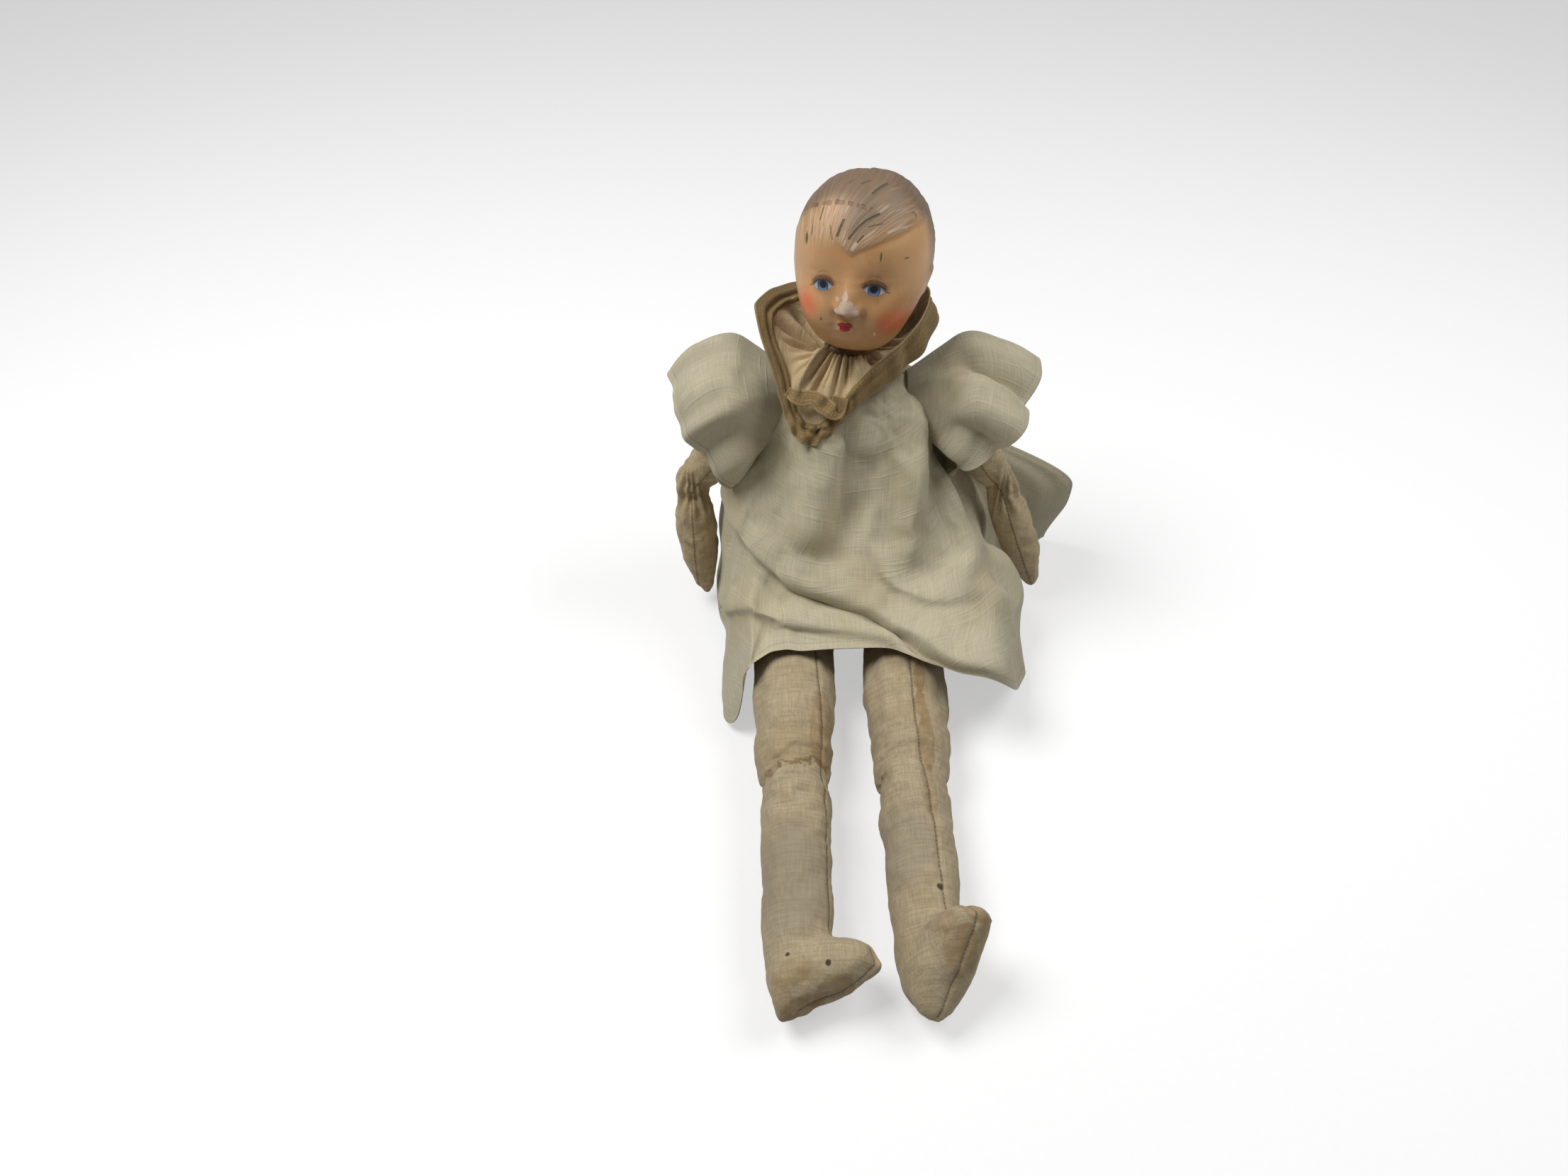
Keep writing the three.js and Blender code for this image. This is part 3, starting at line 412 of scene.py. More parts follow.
def make_stage():
    """The pale floor, the soft lamps and the camera."""
    scene = bpy.context.scene
    scene.view_settings.view_transform = "Standard"
    lens = bpy.data.cameras.new("camera")
    lens.sensor_width, lens.sensor_fit, lens.lens = SENSOR, "HORIZONTAL", LENS
    camera = bpy.data.objects.new("camera", lens)
    camera.location = CAMERA_PLACE
    camera.rotation_euler = (radians(CAMERA_TILT), 0, 0)
    scene.collection.objects.link(camera)
    scene.camera = camera

    deselect()
    bpy.ops.mesh.primitive_plane_add(size=FLOOR_SIZE)
    floor = new_piece("floor")
    paper = Finish("paper_floor", Roughness=1.0)
    grain = paper.noise(paper.object_place(), 300.0, 3.0)
    paper.surface(paper.mix(grain, *FLOOR_GREYS))
    paper.shader.inputs["Specular IOR Level"].default_value = 0
    path = paper.node("ShaderNodeLightPath").socket.node
    rays = ("Is Camera Ray", "Is Glossy Ray", "Is Transmission Ray")
    seen, mirrored, passed = (Value(paper, path.outputs[ray]) for ray in rays)
    glow = paper.node("ShaderNodeEmission", None, {1: FLOOR_GLOW * seen.most(mirrored).most(passed)})
    both = paper.node("ShaderNodeAddShader", None, {0: Value(paper, paper.shader.outputs[0]), 1: glow})
    paper.feed(paper.tree.nodes["Material Output"].inputs["Surface"], both)
    floor.data.materials.append(paper.material)

    world = bpy.data.worlds.new("plain_world")
    world.use_nodes = True
    scene.world = world
    tree = world.node_tree
    path = tree.nodes.new("ShaderNodeLightPath")
    level = tree.nodes.new("ShaderNodeMapRange")
    level.inputs["To Min"].default_value = WORLD_LIGHT
    level.inputs["To Max"].default_value = 1
    tree.links.new(path.outputs["Is Camera Ray"], level.inputs["Value"])
    background = tree.nodes["Background"]
    background.inputs["Color"].default_value = (1, 1, 1, 1)
    tree.links.new(level.outputs[0], background.inputs["Strength"])

    for name, (place, size, watts) in LAMPS.items():
        lamp = bpy.data.lights.new(name, "AREA")
        lamp.shape, lamp.size, lamp.energy = "DISK", size, watts
        obj = bpy.data.objects.new(name, lamp)
        obj.location = place
        obj.rotation_euler = (LAMP_AIM - Vector(place)).to_track_quat("-Z", "Y").to_euler()
        scene.collection.objects.link(obj)


# Stuffed casings

def casing(name, nodes, voxel, rounds, pad=None):
    """A seamless skin over solids of the frame, and over a pad between them, its facets worked smooth."""
    deselect()
    if pad is not None:
        place, half = pad
        bpy.ops.mesh.primitive_uv_sphere_add(segments=24, ring_count=12, radius=1)
        fit = Matrix.Translation(place * MM) @ Matrix.Diagonal((*half * MM, 1))
        bpy.context.active_object.data.transform(fit)
    for node in nodes:
        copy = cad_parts[node].copy()
        copy.data = copy.data.copy()
        copy.parent = None
        for key in list(copy.keys()):
            del copy[key]
        bpy.context.scene.collection.objects.link(copy)
        copy.select_set(True)
        bpy.context.view_layer.objects.active = copy
    bpy.ops.object.join()
    obj = new_piece(name)
    merge(obj)
    apply(obj, "REMESH", mode="VOXEL", voxel_size=voxel)
    return apply(obj, "SMOOTH", factor=0.5, iterations=rounds)


PLUMP_STEPS, SEAM_SHRINK = 18, 0.16


def plump(obj, press, most, seam=None):
    """Swells a casing with stuffing as cloth under pressure, each point by no more than most."""
    before = points(obj)
    set_points(obj, SIM_SCALE * before)
    pick(obj)
    modifier = obj.modifiers.new("Stuffing", "CLOTH")
    cloth = modifier.settings
    cloth.quality, cloth.mass = 4, 0.3
    cloth.tension_stiffness = cloth.compression_stiffness = 12
    cloth.shear_stiffness, cloth.bending_stiffness = 6, 1.5
    cloth.use_pressure, cloth.uniform_pressure_force = True, press
    cloth.effector_weights.gravity = 0
    modifier.collision_settings.use_collision = False
    if seam is not None:
        group = obj.vertex_groups.new(name="seam")
        for index in np.nonzero(seam > 0.02)[0]:
            group.add([int(index)], float(seam[index]), "REPLACE")
        cloth.vertex_group_shrink, cloth.shrink_min, cloth.shrink_max = "seam", 0.0, SEAM_SHRINK
    for step in range(1, PLUMP_STEPS + 1):
        bpy.context.scene.frame_set(step)
    bpy.ops.object.modifier_apply(modifier=modifier.name)
    bpy.context.scene.frame_set(1)
    moved = points(obj) / SIM_SCALE - before
    far = np.linalg.norm(moved, axis=1, keepdims=True)
    set_points(obj, before + moved * np.minimum(1, most / np.maximum(far, 1e-6)))
    obj.vertex_groups.clear()


def lump(obj, size, seed):
    """Uneven stuffing under the cloth."""
    chance = np.random.default_rng(seed)
    places = points(obj)
    bumps = np.zeros(len(places))
    for wide, share in ((26, 1.0), (11, 0.4), (5, 0.16)):
        for _ in range(8):
            wave = chance.normal(size=3)
            wave *= 2 * pi / wide / np.linalg.norm(wave)
            bumps += share * np.sin(places @ wave + chance.uniform(0, 2 * pi)) / 2
    set_points(obj, places + (size / MM * bumps)[:, None] * normals(obj))


LEG_SEAM = {
    # reach from the hips in millimetres and turn of the seam in degrees
    "left": ((60, 2), (150, 4), (205, 18), (250, 24), (300, 31)),
    "right": ((60, 24), (110, 27), (190, 50), (250, 58), (300, 75)),
}
LEG_REACH = 320
ANKLE_HEIGHT = 18.3
LEG_MARKS = {
    # brown water marks: middle, half width, half length and strength
    "left": (
        (38, -118, 3.2, 11, 1.0), (37, -138, 3.6, 9, 1.0), (39, -160, 4.2, 18, 0.9), (38, -192, 4, 16, 0.5),
        (52, -268, 9, 7, 0.8), (44, -284, 9, 8, 0.7), (36, -272, 7, 5, 0.6), (58, -282, 6, 10, 0.6),
    ),
    "right": (
        (-17, -150, 7, 22, 0.7), (-27, -304, 10, 6, 0.9), (-12, -297, 10, 6, 0.8), (-34, -290, 9, 7, 0.5),
        (-2, -302, 9, 5, 0.6), (-40, -300, 6, 8, 0.5),
    ),
}
LEG_GREY = {"left": ((22, -222, 16, 26, 0.35),), "right": ((-34, -240, 20, 34, 0.42),)}
# a tide line's reach and slant, and the middles and radii of worn holes
LEG_TIDE = {"left": None, "right": (-176.0, 0.35)}
LEG_HOLES = {"left": ((38, -247, 1.9),), "right": ((-36.4, -281, 1.3), (-17.5, -287.5, 1.5))}
LEG_SEEDS = {"left": 3, "right": 4}
ARM_SEEDS = {"left": 5, "right": 6}
# the arms' muslin is painted lighter than the rest: painted light on them
ARM_PAINTED_LIGHT = 1.32


def leg_seam_distance(places, side):
    """Millimetres from the seam down the front of a leg, and which side of the leg faces it."""
    reach, turn = np.array(LEG_SEAM[side]).T
    angle = np.radians(np.interp(-places[:, 1], reach, turn))
    x, z = places[:, 0] - HIP_LINE[side][0], places[:, 2] - ANKLE_HEIGHT
    return x * np.cos(angle) - z * np.sin(angle), x * np.sin(angle) + z * np.cos(angle)


def muslin_finish(name, colours, axis, seam=None, marks=(), grey=(), tide=None, holes=(), level=1.0):
    """Old unbleached muslin: slubs both ways, mottling, a sewn seam and water marks."""
    f = Finish(name, Roughness=0.95, Sheen_Weight=0.12, Sheen_Roughness=0.5)
    place = f.object_place()
    fast, slow = 1250.0, 70.0
    warp = f.noise(f.stretch(place, *(slow if k == axis else fast for k in range(3))), 1.0, 1.0)
    weft = f.noise(f.stretch(place, *(fast if k == axis else slow for k in range(3))), 1.0, 1.0)
    weave = 0.5 * (warp + weft)
    broad = f.noise(place, 38.0, 3.0, 0.6)
    small = f.noise(place, 160.0, 2.0, 0.55)
    # a level above 1 gives a lighter copy of the muslin: painted light
    dim, bright = (shade(colours.muslin, part * level) for part in (0.8, 1.14))
    tint = f.mix(weave.step(0.3, 0.7), dim, bright)
    tint = f.mix(broad.step(0.42, 0.7) * 0.35, tint, blended(colours.muslin, colours.stain, 0.5))
    tint = f.mix(small.step(0.58, 0.75) * 0.3, tint, shade(colours.muslin, 0.72))
    x, y, z = f.split(f.stretch(place, 1000, 1000, 1000))
    ragged = 11.0 * (f.noise(place, 75.0, 4.0, 0.65) - 0.5)
    patchy = f.noise(place, 130.0, 3.0, 0.65).step(0.3, 0.7)
    for (mx, my, wide, tall, depth) in marks:
        away = oval_away(x - mx, y - my, wide, tall) + ragged / (wide + tall) * 2.4
        rim = away.step(0.7, 0.96) * away.step(1.12, 0.98)
        tint = f.mix((away.step(1.15, 0.7) * (0.3 + 0.6 * patchy) + rim * 0.3) * depth, tint, colours.stain)
    for (mx, my, wide, tall, depth) in grey:
        away = oval_away(x - mx, y - my, wide, tall) + ragged / (wide + tall)
        tint = f.mix(away.step(1.15, 0.6) * depth, tint, (0.24, 0.21, 0.17))
    if tide is not None:
        line = y - tide[0] - tide[1] * (x - HIP_LINE["right"][0]) + 2.6 * ragged
        near = line.step(-1.6, 0.0) * line.step(3.5, 0.6)
        tint = f.mix(near * 0.85, tint, shade(colours.stain, 0.8))
        tint = f.mix(line.step(0, 2) * line.step(40, 8) * 0.28, tint, colours.stain)
    for (mx, my, wide) in holes:
        away = (((x - mx) ** 2 + (y - my) ** 2) ** 0.5 + 0.12 * ragged) / wide
        tint = f.mix(away.step(2.4, 1.2) * z.step(20, 26) * 0.4, tint, shade(colours.muslin, 1.2))
        tint = f.mix(away.step(1.1, 0.6) * z.step(20, 26) * 0.9, tint, linear(58, 38, 32))
    height = 0.14 * weave + 0.25 * small
    if seam is not None:
        away, facing, run = seam(f, x, y, z)
        stitch = (f.math("SINE", run * (2 * pi / 2.6))).step(-0.5, 0.2)
        line = abs(away).step(0.75, 0.25) * facing
        tint = f.mix(line * (0.3 + 0.35 * stitch), tint, shade(colours.thread, 0.6))
        height = height - 0.5 * line + 0.25 * line * stitch
    return f.surface(tint, None, height)


def leg_seam_finish(side):
    """A leg's seam for its finish: distance, facing and run."""
    reach, turn = np.array(LEG_SEAM[side]).T

    def seam(f, x, y, z):
        stops = [(k / LEG_REACH, t / 90) for k, t in zip(reach, turn)]
        ramp = f.node("ShaderNodeValToRGB", {"stops": stops}, {0: y * (-1 / LEG_REACH)})
        angle = ramp * (pi / 2)
        cosine, sine = f.math("COSINE", angle), f.math("SINE", angle)
        aside, up = x - float(HIP_LINE[side][0]), z - ANKLE_HEIGHT
        towards = aside * sine + up * cosine
        return aside * cosine - up * sine, towards.step(-2, 2), y + z
    return seam


def make_legs(sizes, colours):
    """Both legs, each one stuffed casing from the hip seam to the turned toe."""
    for side in HANDED:
        nodes = [f"leg_{side}_{part}" for part in ("inner_panel", "outer_panel", "stuffing")]
        leg = casing(f"stuffed_leg_{side}", nodes, sizes.casing_voxel, 22)
        away, _ = leg_seam_distance(points(leg), side)
        plump(leg, 3.0, sizes.plumping / MM, np.exp(-((away / 2.5) ** 2)))
        apply(leg, "SUBSURF", levels=1, render_levels=1)
        lump(leg, 0.6 * sizes.lumps, LEG_SEEDS[side])
        places = points(leg)
        away, facing = leg_seam_distance(places, side)
        crease = np.exp(-((away / 1.6) ** 2)) * smooth(facing, -2, 2)
        pucker = np.exp(-((away / 5) ** 2)) * smooth(facing, -2, 2) * np.sin(places[:, 1] * 2 * pi / 6.5)
        places += (-0.8 * crease + 0.14 * pucker)[:, None] * normals(leg)
        places[:, 2] = np.maximum(places[:, 2], 0.3)
        set_points(leg, places)
        finish = muslin_finish(
            f"muslin_leg_{side}", colours, 1, leg_seam_finish(side),
            LEG_MARKS[side], LEG_GREY[side], LEG_TIDE[side], LEG_HOLES[side],
        )
        finish_piece(leg, finish, nodes)
        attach(leg, f"leg_{side}")


def arm_axis(side):
    """Points down the middle of an arm, from the shoulder to the hand."""
    low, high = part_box(f"forearm_{side}_front_panel")
    tip_x = (high.x if side == "left" else (low.x + high.x) / 2) / MM
    tip = np.array([tip_x - (4 if side == "left" else 0), low.y / MM + 9, low.z / MM])
    return np.array([SHOULDER[side], ELBOW[side], tip])


def arm_seam_finish(side):
    """An arm's front seam for its finish: distance, facing and run."""
    shoulder, elbow, tip = arm_axis(side)

    def seam(f, x, y, z):
        upper = (elbow[0] - shoulder[0]) / (elbow[2] - shoulder[2])
        lower = (tip[0] - elbow[0]) / (tip[2] - elbow[2])
        rise = z - float(elbow[2])
        middle = float(elbow[0]) + rise.most(0.0) * float(upper) + rise.least(0.0) * float(lower)
        return x - middle, y.step(4.0, 0.0), z
    return seam


def make_arms(sizes, colours):
    """Both arms, each one casing from the shoulder to the gathered hand, drawn in at the elbow."""
    for side in HANDED:
        halves = [f"{half}_{side}" for half in ("upper_arm", "forearm")]
        nodes = [f"{half}_{part}" for half in halves for part in ("front_panel", "back_panel", "stuffing")]
        pad = ELBOW[side], np.array([11.5, 4.5, 5])
        arm = casing(f"stuffed_arm_{side}", nodes, 0.8 * sizes.casing_voxel, 10, pad)
        nodes.append(f"elbow_stitch_{side}")
        plump(arm, 2.5, 0.5 * sizes.plumping / MM)
        apply(arm, "SUBSURF", levels=1, render_levels=1)
        lump(arm, 0.7 * sizes.lumps, ARM_SEEDS[side])
        places = points(arm)
        shoulder, elbow, tip = arm_axis(side)
        out = normals(arm)
        rise = places[:, 2] - elbow[2]
        turn = np.arctan2(places[:, 0] - elbow[0], places[:, 1] - elbow[1])
        pucker = bell(rise, 0, 9) * np.sin(9 * turn + 1.3 * np.sin(2 * turn))
        gather = bell(places[:, 2], tip[2] + 3, 6) * np.sin(8 * turn)
        places += (1.2 * pucker + 0.7 * gather)[:, None] * out
        set_points(arm, places)
        marks = [(tip[0], tip[1], 16, 16, 0.35), (elbow[0], elbow[1] - 8, 12, 14, 0.3)]
        seam = arm_seam_finish(side)
        finish = muslin_finish(f"muslin_arm_{side}", colours, 2, seam, marks, level=ARM_PAINTED_LIGHT)
        finish_piece(arm, finish, nodes)
        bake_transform(arm)


SIDE_SEAM, SIDE_LEAN = 12.0, float(np.tan(radians(8)))


def make_torso(sizes, colours):
    """The stuffed torso under the smock."""
    nodes = ["torso_front_panel", "torso_back_panel", "torso_stuffing"]
    torso = casing("stuffed_torso", nodes, 1.4 * sizes.casing_voxel, 8)
    plump(torso, 1.5, 0.4 * sizes.plumping / MM)
    lump(torso, sizes.lumps, 8)
    places = points(torso)
    lean = places[:, 1] + SIDE_SEAM - places[:, 2] * SIDE_LEAN
    places -= (0.7 * np.exp(-((lean / 2.5) ** 2)))[:, None] * normals(torso)
    places[:, 2] = np.maximum(places[:, 2], 0)
    set_points(torso, places)

    def side_seam(f, x, y, z):
        return y + SIDE_SEAM - z * SIDE_LEAN, abs(x).step(20, 30), z

    finish_piece(torso, muslin_finish("muslin_torso", colours, 2, side_seam), nodes)
    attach(torso, "torso")


CORD_RING, CORD_RADIUS, CORD_RISE = 15.3, 0.95, 13


def make_neck(sizes, colours):
    """The neck's cloth cover, drawn in by a tied cord above the head's flange."""
    nodes = ["neck_sleeve", "neck_stuffing"]
    cover = casing("neck_cover", nodes, 0.7 * sizes.casing_voxel, 5)
    turn_back = np.array(NECK_TURN).T
    places = (points(cover) - NECK_POINT) @ turn_back.T
    turn = np.arctan2(places[:, 1], places[:, 0])
    gather = 0.7 * np.sin(22 * turn + np.sin(3 * turn)) * smooth(places[:, 2], -4, 10)
    ring = np.hypot(places[:, 0], places[:, 1])
    places[:, :2] *= (1 + gather / np.maximum(ring, 4))[:, None]
    set_points(cover, places @ turn_back + NECK_POINT)
    finish_piece(cover, muslin_finish("muslin_neck", colours, 2), nodes)
    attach(cover, "neck")

    deselect()
    bpy.ops.mesh.primitive_torus_add(
        major_segments=120, minor_segments=14, major_radius=CORD_RING * MM, minor_radius=CORD_RADIUS * MM
    )
    cord = new_piece("neck_cord")
    places = points(cord)
    turn = np.arctan2(places[:, 1], places[:, 0])
    ring = np.hypot(places[:, 0], places[:, 1]) - CORD_RING
    roll = np.arctan2(places[:, 2], ring)
    ply = 1 + 0.16 * np.cos(3 * roll + 26 * turn)
    spread = (CORD_RING + ring * ply) / (CORD_RING + ring)
    places = np.stack([places[:, 0] * spread, places[:, 1] * spread, places[:, 2] * ply + CORD_RISE], 1)
    set_points(cord, places @ turn_back + NECK_POINT)
    finish_piece(cord, thread_finish(colours), ["neck_tie_cord"])
    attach(cord, "neck")


def thread_finish(colours):
    """Twisted sewing thread."""
    f = Finish("sewing_thread", Roughness=0.85, Sheen_Weight=0.15)
    place = f.object_place()
    fibre = f.noise(f.stretch(place, 2600, 2600, 2600), 1.0, 2.0)
    tint = f.mix(fibre.step(0.3, 0.7), shade(colours.thread, 0.7), shade(colours.thread, 1.25))
    return f.surface(tint, None, 0.12 * fibre)


STITCHES = {
    # by node: the piece, the radius of its winding and its turns
    "hip_stitch": ("hip_stitches", 1.1, 14),
    "shoulder_thread": ("shoulder_threads", 0.25, 4),
}


def make_stitches(sizes, colours):
    """The overcast stitches at the hips and the threads through the shoulders."""
    for node, (piece, wind, turns) in STITCHES.items():
        for side in HANDED:
            low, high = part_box(f"{node}_{side}")
            middle = np.array((low + high) / 2) / MM
            half = (high.x - low.x) / 2 / MM
            share = np.linspace(-1, 1, 12 * turns + 1)
            angle = turns * pi * share
            route = np.stack([half * share, wind * np.cos(angle), wind * np.sin(angle)], 1) + middle
            deselect()
            bpy.ops.curve.primitive_nurbs_path_add()
            curve = new_piece(f"{piece}_{side}")
            curve.data.splines.clear()
            spline = curve.data.splines.new("POLY")
            spline.points.add(len(route) - 1)
            for point, place in zip(spline.points, route * MM):
                point.co = (*place, 1)
            curve.data.bevel_depth, curve.data.bevel_resolution = sizes.thread, 2
            curve.data.use_fill_caps = True
            pick(curve)
            bpy.ops.object.convert(target="MESH")
            stitches = bpy.context.active_object
            finish_piece(stitches, thread_finish(colours), [f"{node}_{side}"])
            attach(stitches, "torso")


# Head

HAIR_LINE = (
    # turn in degrees and height of the hair's edge
    (-180, -36), (-118, -30), (-104, 0), (-88, 10), (-70, 13), (-51, 14.2), (-40, 15.9), (-26.7, 17.8),
    (-16.9, 19.1), (-9.7, 19.5), (-4.7, 16.9), (0.5, 14.4), (6.3, 16.9), (16.8, 20.1), (28.4, 22.9),
    (43.1, 25.7), (55, 27.8), (66, 28.6), (84, 27), (104, 8), (118, -30), (180, -36),
)
HAIR_STROKES = (
    # points on the head, half width and strength
    (((-16.9, -26.9, 31.9), (-17.8, -30.1, 27.1)), 0.45, 0.7),
    (((-5.3, -34.2, 29.1), (-6.5, -36.0, 25.8), (-7.6, -37.7, 22.1)), 0.75, 0.9),
    (((11.4, -30.2, 31.9), (6.2, -33.7, 29.5), (2.4, -36.4, 26.4), (-1.4, -38.8, 21.5)), 0.7, 0.9),
    (((13.5, -32.1, 27.8), (7.8, -35.1, 26.9)), 0.5, 0.5),
    (((5.5, -37.8, 23.0), (3.3, -38.9, 20.1)), 0.6, 0.7),
    (((11.9, -14.2, 43.6), (6.5, -23.3, 40.2)), 0.8, 0.85),
    (((3.1, -14.9, 45.6), (0.1, -18.3, 44.2)), 0.6, 0.6),
    (((-5.3, -14.6, 45.6), (-7.0, -17.1, 44.0)), 0.6, 0.5),
    (((-11.9, -34.3, 25.6), (-10.2, -37.5, 20.0)), 0.5, 0.45),
    (((26.5, -16.4, 30.8), (27.4, -16.6, 29.1)), 0.5, 0.8),
)
# pale strokes in the hair, among them painted highlights on the fringe's raised edge and tip
HAIR_HIGHLIGHTS_AND_PALE_STROKES = (
    (((24.4, -24.8, 26.0), (16.9, -32.5, 24.2)), 0.9, 0.55),
    (((0.6, -39.3, 16.5), (2.1, -39.1, 19.2)), 1.2, 0.75),
    (((-3.4, -39.0, 20.3), (-4.0, -38.7, 17.8)), 0.6, 0.6),
    (((-15.5, -33, 24), (-16.5, -35, 19.5)), 0.6, 0.5),
)


FACE_KNOBS = (
    # height, turn and level on the head in degrees, spread sideways, above and below
    (8.2, 1, -15.8, 4.6, 7.5, 3.2),  # nose
    (1.8, 0, -5, 4.0, 6.5),  # bridge of the nose
    (-0.5, 0, -25.4, 1.8, 2.0),  # groove above the lips
    (0.4, 1, -60, 16, 9),  # chin
    (1.2, 0, -43, 12, 7),  # muzzle
    (-2.2, 0, -80, 60, 18),  # under the chin
    (1.3, -1, -28.8, 6.2, 1.8),  # upper lip
    (1.4, -1, -32.8, 5.2, 1.9),  # lower lip
    (-0.9, -1, -30.8, 6.5, 0.7),  # between the lips
    (-0.6, -1, -37.5, 6, 2),  # below the lips
)
FACE_PAIRS = (
    # height, middle, turn to either side of it, then as above
    (3.4, 0.8, 6.8, -17.6, 2.6, 2.8, 2.2),  # wings of the nose
    (-1.0, 0.8, 3.6, -22.4, 1.7, 1.5),  # nostrils
    (3.0, 0, 27, -26, 12, 11),  # cheeks
    (-0.7, -1, 8, -31, 2.2, 2.4),  # corners of the mouth
    (-2.2, -0.6, 20.5, -3.2, 10, 6.5),  # eye sockets
    (1.9, -0.6, 20, -5, 6.5, 4.2),  # eyeballs
    (0.5, -0.6, 20, 0.6, 8, 1.4),  # brows
)
CHEEKS = (
    # middle, half width and height, strength and warmth
    (-22.5, -14.5, 9, 9.5, 0.8, 0.0),
    (23.5, -21.5, 11, 9, 0.85, 0.9),
)
FACE_SPOTS = (
    # middle, half width and height, and colour of a fleck
    (-25.4, 18.1, 0.9, 2.8, (0.03, 0.07, 0.015)),
    (15.4, 13.9, 0.5, 2.4, (0.05, 0.08, 0.02)),
    (-13.8, -20.8, 0.7, 0.9, (0.12, 0.08, 0.05)),
    (14.9, -27.0, 0.5, 1.3, (0.75, 0.62, 0.42)),
    (27.5, 12.4, 1.2, 0.5, (0.2, 0.13, 0.06)),
    (-22.5, 22.5, 0.5, 2.6, (0.2, 0.17, 0.08)),
)
EYE_ASIDE, EYE_LEVEL, EYE_HALF = 13.7, -3.3, 5.9
COMB_ACROSS, COMB_ALONG = 42, 45
SWEEP, SWEEP_TOP, SWEEP_RUN, SWEEP_BEND = 27, 62.0, 44, 1.6
SWEEP_SIDE = (-22, 6)
STEM_RADIUS, STEM_GAP = 12.4, 9


def comb_place(x, y, z):
    """Millimetres sideways on the head and from the level of its middle up over the crown."""
    return COMB_ACROSS * np.arctan2(x, np.hypot(y, z)), COMB_ALONG * (pi / 2 - np.arctan2(-y, z))


def hair_flow(x, y, z):
    """Millimetres across and along the combed hair, which sweeps from the crown to the fringe's tip."""
    aside, run = comb_place(x, y, z)
    swept = SWEEP * (np.clip(SWEEP_TOP - run, 0, SWEEP_TOP) / SWEEP_RUN) ** SWEEP_BEND
    return aside + swept * smooth(aside, *SWEEP_SIDE), run


def knob(turn, height, at_turn, at_height, wide, above, below=None):
    """A rounded rise on the head, 1 at its top."""
    tall = np.where(height > at_height, above, below or above)
    return np.exp(-(((turn - at_turn) / wide) ** 2 + ((height - at_height) / tall) ** 2) / 2)


def head_radius(way, sizes):
    """Millimetres from the head's middle to its painted surface."""
    x, y, z = way.T
    turn = np.degrees(np.arctan2(x, -y))
    height = np.degrees(np.arcsin(np.clip(z, -1, 1)))
    full = 2 + 0.55 * smooth(-z, 0, 0.5) + 0.3 * smooth(z, 0, 0.45)
    jaw = 1 - 0.15 * smooth(-height, -4, 45)
    half = [size / MM / 2 for size in (sizes.head_width, sizes.head_depth, sizes.head_height)]
    half[0] = half[0] * jaw
    egg = sum((np.abs(part) / size) ** full for part, size in zip((x, y, z), half)) ** (-1 / full)
    throat = 0.2 * smooth(-z, 0.55, 0.95) * smooth(y, -0.45, 0.05)
    nape = 0.1 * smooth(-z, 0.2, 0.8) * smooth(y, 0.2, 0.8)
    egg *= 1 - throat - nape
    face = sum(rise * knob(turn, height, *place) for rise, *place in FACE_KNOBS)
    for rise, middle, off, *place in FACE_PAIRS:
        for aside in (middle + off, middle - off):
            face = face + rise * knob(turn, height, aside, *place)
    ring = np.hypot((np.abs(turn) - 99) / 8.5, (height + 12) / 13)
    ear = 0.8 * np.exp(-(((ring - 0.8) / 0.24) ** 2)) * smooth(np.abs(turn), 88, 96)
    ear += 0.3 * np.exp(-(ring**2) * 2)
    level = egg * z
    line = np.interp(turn, *np.array(HAIR_LINE).T)
    soft = 2.4 + 4 * smooth(-turn, 2, 20) + 5 * smooth(turn, 55, 75)
    hair = smooth((level - line) / soft, -1, 1)
    across, run = hair_flow(egg * x, egg * y, level)
    locks = 0.06 * sway(across, run, 5.5, 90, 61) + 0.1 * sway(across, run, 14, 60, 62)
    relief = sizes.hair_relief / MM * (0.45 + 0.55 * smooth(turn, -12, 2))
    locks = hair * (relief + locks * smooth(level, line, line + 9))
    away = np.sqrt(np.maximum(1 - z * z, 1e-9))
    stem = np.minimum(STEM_RADIUS / np.maximum(away, 1e-4), (HEAD_RISE - STEM_GAP) / np.maximum(-z, 1e-4))
    return np.maximum(egg + face + ear + locks, np.where(z < -0.5, stem, 0))


